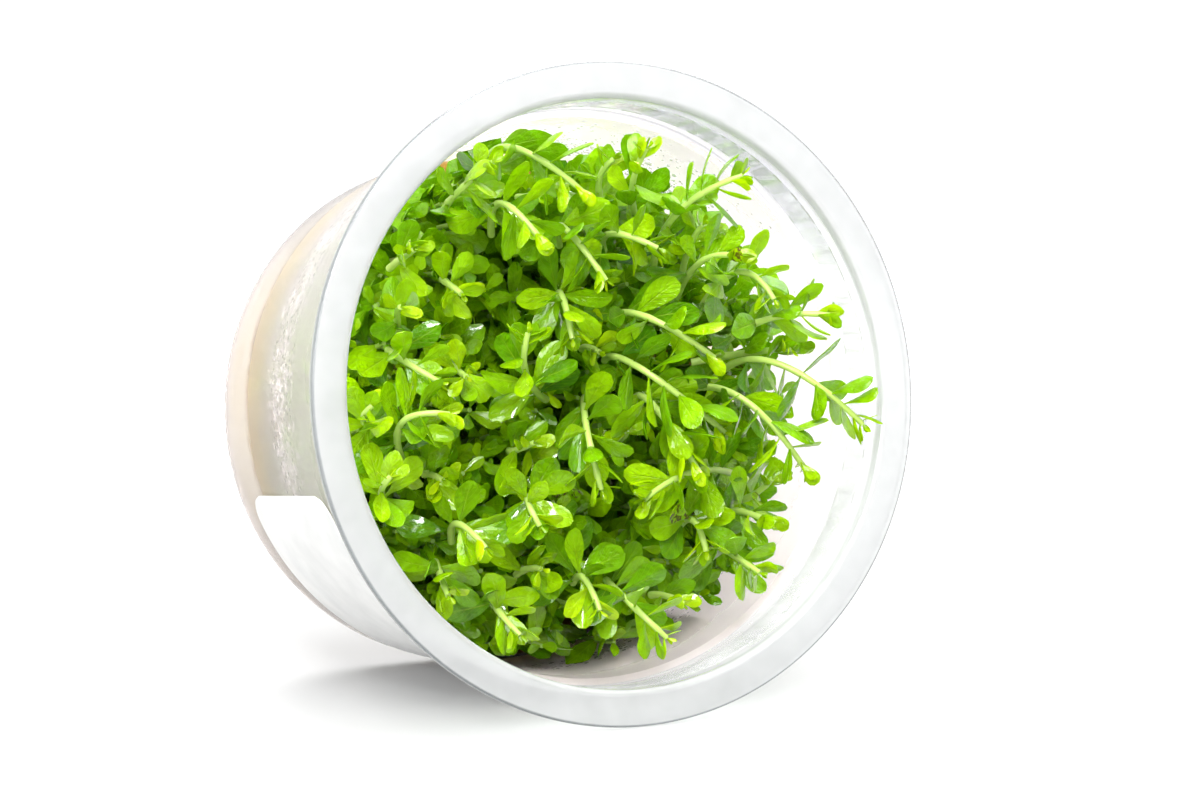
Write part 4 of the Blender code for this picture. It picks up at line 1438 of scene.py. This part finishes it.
class ROTALA_OT_label(bpy.types.Operator):
    """Make the bare paper label on the lower wall"""

    bl_idname = "rotala.label"
    bl_label = "Label"

    def execute(self, context):
        look = context.scene.rotala_label_look
        turn = math.radians(LABEL_END_DEG - LABEL_START_DEG)
        middle_radius = outer_radius((LABEL_TOP + LABEL_BOTTOM) / 2)
        bm = bmesh.new()
        bmesh.ops.create_grid(bm, x_segments=LABEL_COLUMNS, y_segments=LABEL_ROWS, size=1.0)
        for vertex in bm.verts:
            share = (vertex.co.x + 1) / 2
            in_from_end = min(share, 1 - share) * turn * middle_radius
            cut = 0.0
            if in_from_end < LABEL_CORNER:
                cut = LABEL_CORNER - math.sqrt(LABEL_CORNER ** 2 - (LABEL_CORNER - in_from_end) ** 2)
            top = LABEL_TOP - cut
            bottom = LABEL_BOTTOM + cut
            z = bottom + (top - bottom) * (vertex.co.y + 1) / 2
            radius = outer_radius(z) + LABEL_OFF_WALL
            angle = math.radians(LABEL_START_DEG) + share * turn
            vertex.co = Vector((radius * math.cos(angle), radius * math.sin(angle), z)) * MM
        bmesh.ops.recalc_face_normals(bm, faces=bm.faces)
        face = bm.faces[:][0]
        if face.normal.dot(face.calc_center_median() * Vector((1, 1, 0))) < 0:
            bmesh.ops.reverse_faces(bm, faces=bm.faces)
        mesh = bpy.data.meshes.new("paper_label")
        bm.to_mesh(mesh)
        bm.free()
        mesh = modified(mesh, "SOLIDIFY", thickness=look.thickness, offset=1.0)
        sharp(mesh, SHARP_MOULDING_DEG)
        mesh.materials.append(coated_paper(look))
        made = placed("paper_label", mesh)
        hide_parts("label")
        return {"FINISHED"}


class ROTALA_OT_gel(bpy.types.Operator):
    """Make the disc of nutrient gel"""

    bl_idname = "rotala.gel"
    bl_label = "Gel"

    def execute(self, context):
        floor_z = -CUP_DEPTH + FOOT_HEIGHT + FLOOR_THICKNESS + GAP
        wall_foot_z = floor_z + GEL_CORNER
        foot_r = inner_radius(wall_foot_z) - GEL_OFF_WALL
        top_r = inner_radius(GEL_TOP) - GEL_OFF_WALL
        # The top dips towards its middle, as gel shrinks when it sets
        profile = [(0.0, GEL_TOP - GEL_DISH)]
        profile += [(top_r * share, GEL_TOP - GEL_DISH + 0.2 * share) for share in (0.3, 0.6, 0.85)]
        profile += arc(top_r - GEL_EDGE_ROUND, GEL_TOP - GEL_EDGE_ROUND, GEL_EDGE_ROUND, 100, 0, 6)
        profile += arc(foot_r - GEL_CORNER, wall_foot_z, GEL_CORNER, 0, -90, 6)
        profile.append((0.0, floor_z))
        mesh = turned("agar_gel", profile, CUP_SIDES)
        mesh.materials.append(set_agar())
        made = placed("agar_gel", mesh)
        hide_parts("gel")
        return {"FINISHED"}


class ROTALA_OT_lower_growth(bpy.types.Operator):
    """Make the young shoots, old leaves and roots between the gel and the upper shoots"""

    bl_idname = "rotala.lower_growth"
    bl_label = "Lower growth"

    def execute(self, context):
        look = context.scene.rotala_plant_look
        thickness = look.blade_thickness / MM
        chance = random.Random("young shoots")
        plans = young_plans(look.young_shoots, chance)
        parts = [Growth() for _ in range(YOUNG_PIECES)]
        for number, (foot, tip) in enumerate(plans):
            grow_young_shoot(parts[number % YOUNG_PIECES], foot, tip, chance, thickness * 0.8)
        add_roots(parts[0], chance)
        add_old_leaves(parts[0], chance, thickness * 0.7)
        for number, part in enumerate(parts):
            made = part.made(f"young_shoots_{number + 1}", plant_materials(look))
            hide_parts("lower_growth")
        return {"FINISHED"}


class ROTALA_OT_shoots(bpy.types.Operator):
    """Make each upper shoot with its leaves, in place of its CAD node"""

    bl_idname = "rotala.shoots"
    bl_label = "Upper shoots"

    def execute(self, context):
        look = context.scene.rotala_plant_look
        materials = plant_materials(look)
        for shoot in plan_shoots():
            chance = random.Random(shoot.name)
            growth = Growth()
            grow_visible_shoot(growth, shoot, chance, look.blade_thickness / MM)
            made = growth.made("grown_" + shoot.name, materials)
            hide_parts("shoot_" + shoot.name)
        return {"FINISHED"}


def plant_materials(look):
    """Leaf, stem and root materials in the order of the kinds, made once."""
    return [bpy.data.materials.get(name) or make(name, look) for name, make in PLANT_FINISHES.items()]


PLANT_FINISHES = {
    "rotala leaf, waxy skin grown in damp air": grown_leaf,
    "rotala stem, juicy and ribbed": grown_stem,
    "root, young white to old tan": grown_root,
}


def white_surround(look):
    """A white backdrop that gives less light than it shows, as flags round a product table do."""
    world = bpy.data.worlds.new("white surround")
    world.use_nodes = True
    tree = world.node_tree
    tree.nodes.clear()
    path = add(tree, "LightPath")
    seen = add(tree, "Math", {
        0: path.outputs["Is Camera Ray"], 1: path.outputs["Is Transmission Ray"],
    }, operation="MAXIMUM")
    # Gloss shows the backdrop low behind the object, and the dark room elsewhere
    where = add(tree, "TexCoord")
    parts = add(tree, "SeparateXYZ", {0: where.outputs["Generated"]})
    behind = add(tree, "MapRange", {
        "Value": parts.outputs["Y"], "From Min": 0.0, "From Max": 0.5,
    }, interpolation_type="SMOOTHSTEP")
    low = add(tree, "MapRange", {
        "Value": parts.outputs["Z"], "From Min": 0.15, "From Max": 0.55, "To Min": 1.0, "To Max": 0.0,
    }, interpolation_type="SMOOTHSTEP")
    backdrop = add(tree, "Math", {0: behind, 1: low}, operation="MULTIPLY")
    mirrored = add(tree, "MapRange", {
        "Value": backdrop, "To Min": look.fill * 0.03, "To Max": look.backdrop * 0.6,
    })
    light = add(tree, "Mix", {
        0: path.outputs["Is Glossy Ray"], 2: look.fill, 3: mirrored,
    }, data_type="FLOAT")
    # The backdrop fades above the object
    sheet = add(tree, "MapRange", {
        "Value": parts.outputs["Z"], "From Min": 0.1, "From Max": 0.6, "To Min": look.backdrop,
        "To Max": look.backdrop * 0.5,
    }, interpolation_type="SMOOTHSTEP")
    strength = add(tree, "Mix", {0: seen, 2: light, 3: sheet}, data_type="FLOAT")
    background = add(tree, "Background", {"Color": linear("FFFFFF"), "Strength": strength})
    add(tree, "OutputWorld", {"Surface": background})
    return world


class ROTALA_OT_stage(bpy.types.Operator):
    """Make the floor, the white surround, the softboxes and the camera"""

    bl_idname = "rotala.stage"
    bl_label = "Stage"

    def execute(self, context):
        look = context.scene.rotala_studio_look
        scene = context.scene
        bpy.ops.mesh.primitive_plane_add(size=look.floor_size, location=(0, 0, -0.02 * MM))
        floor = context.object
        floor.name = "studio_floor"
        floor.data.materials.append(painted_board())
        floor.visible_glossy = False
        scene.world = white_surround(look)
        for name, place, size, power, in_gloss in SOFTBOXES:
            lamp = bpy.data.lights.new(name, "AREA")
            lamp.shape = "RECTANGLE"
            lamp.size, lamp.size_y = size
            lamp.energy = look.key_power * power
            made = bpy.data.objects.new(name, lamp)
            scene.collection.objects.link(made)
            made.location = place
            made.visible_glossy = in_gloss
            made.visible_transmission = False
            aim = Vector((0, -0.01, 0.05)) - made.location
            made.rotation_euler = aim.to_track_quat("-Z", "Y").to_euler()
        lens = bpy.data.cameras.new("camera")
        lens.lens = CAMERA_LENS
        lens.sensor_width = CAMERA_SENSOR
        lens.clip_start = 0.01
        camera = bpy.data.objects.new("camera", lens)
        scene.collection.objects.link(camera)
        camera.location = CAMERA_PLACE
        tilt = math.radians(90 - CAMERA_ELEVATION_DEG)
        camera.rotation_euler = (tilt, 0, math.radians(CAMERA_AZIMUTH_DEG))
        scene.camera = camera
        scene.view_settings.view_transform = "Standard"
        return {"FINISHED"}


class ROTALA_PT_panel(bpy.types.Panel):
    """Sidebar panel that lists the pieces and their settings"""

    bl_idname = "ROTALA_PT_panel"
    bl_label = "Rotala Cup"
    bl_space_type = "VIEW_3D"
    bl_region_type = "UI"
    bl_category = "Rotala Cup"

    def draw(self, context):
        for name, kind in LOOKS.items():
            box = self.layout.box()
            box.label(text=kind.__doc__.rstrip("."))
            for setting in kind.__annotations__:
                box.prop(getattr(context.scene, name), setting)
        for operator in OPERATORS:
            self.layout.operator(operator.bl_idname)


OPERATORS = (
    ROTALA_OT_stage, ROTALA_OT_cup, ROTALA_OT_drops, ROTALA_OT_label, ROTALA_OT_gel,
    ROTALA_OT_lower_growth, ROTALA_OT_shoots,
)


def register():
    for kind in (*LOOKS.values(), *OPERATORS, ROTALA_PT_panel):
        bpy.utils.register_class(kind)
    for name, kind in LOOKS.items():
        setattr(bpy.types.Scene, name, PointerProperty(type=kind))


def unregister():
    for name in LOOKS:
        delattr(bpy.types.Scene, name)
    for kind in reversed((*LOOKS.values(), *OPERATORS, ROTALA_PT_panel)):
        bpy.utils.unregister_class(kind)


def main():
    register()
    bpy.ops.rotala.stage()
    bpy.ops.rotala.cup()
    bpy.ops.rotala.drops()
    bpy.ops.rotala.label()
    bpy.ops.rotala.gel()
    bpy.ops.rotala.lower_growth()
    bpy.ops.rotala.shoots()


if __name__ == "__main__":
    main()
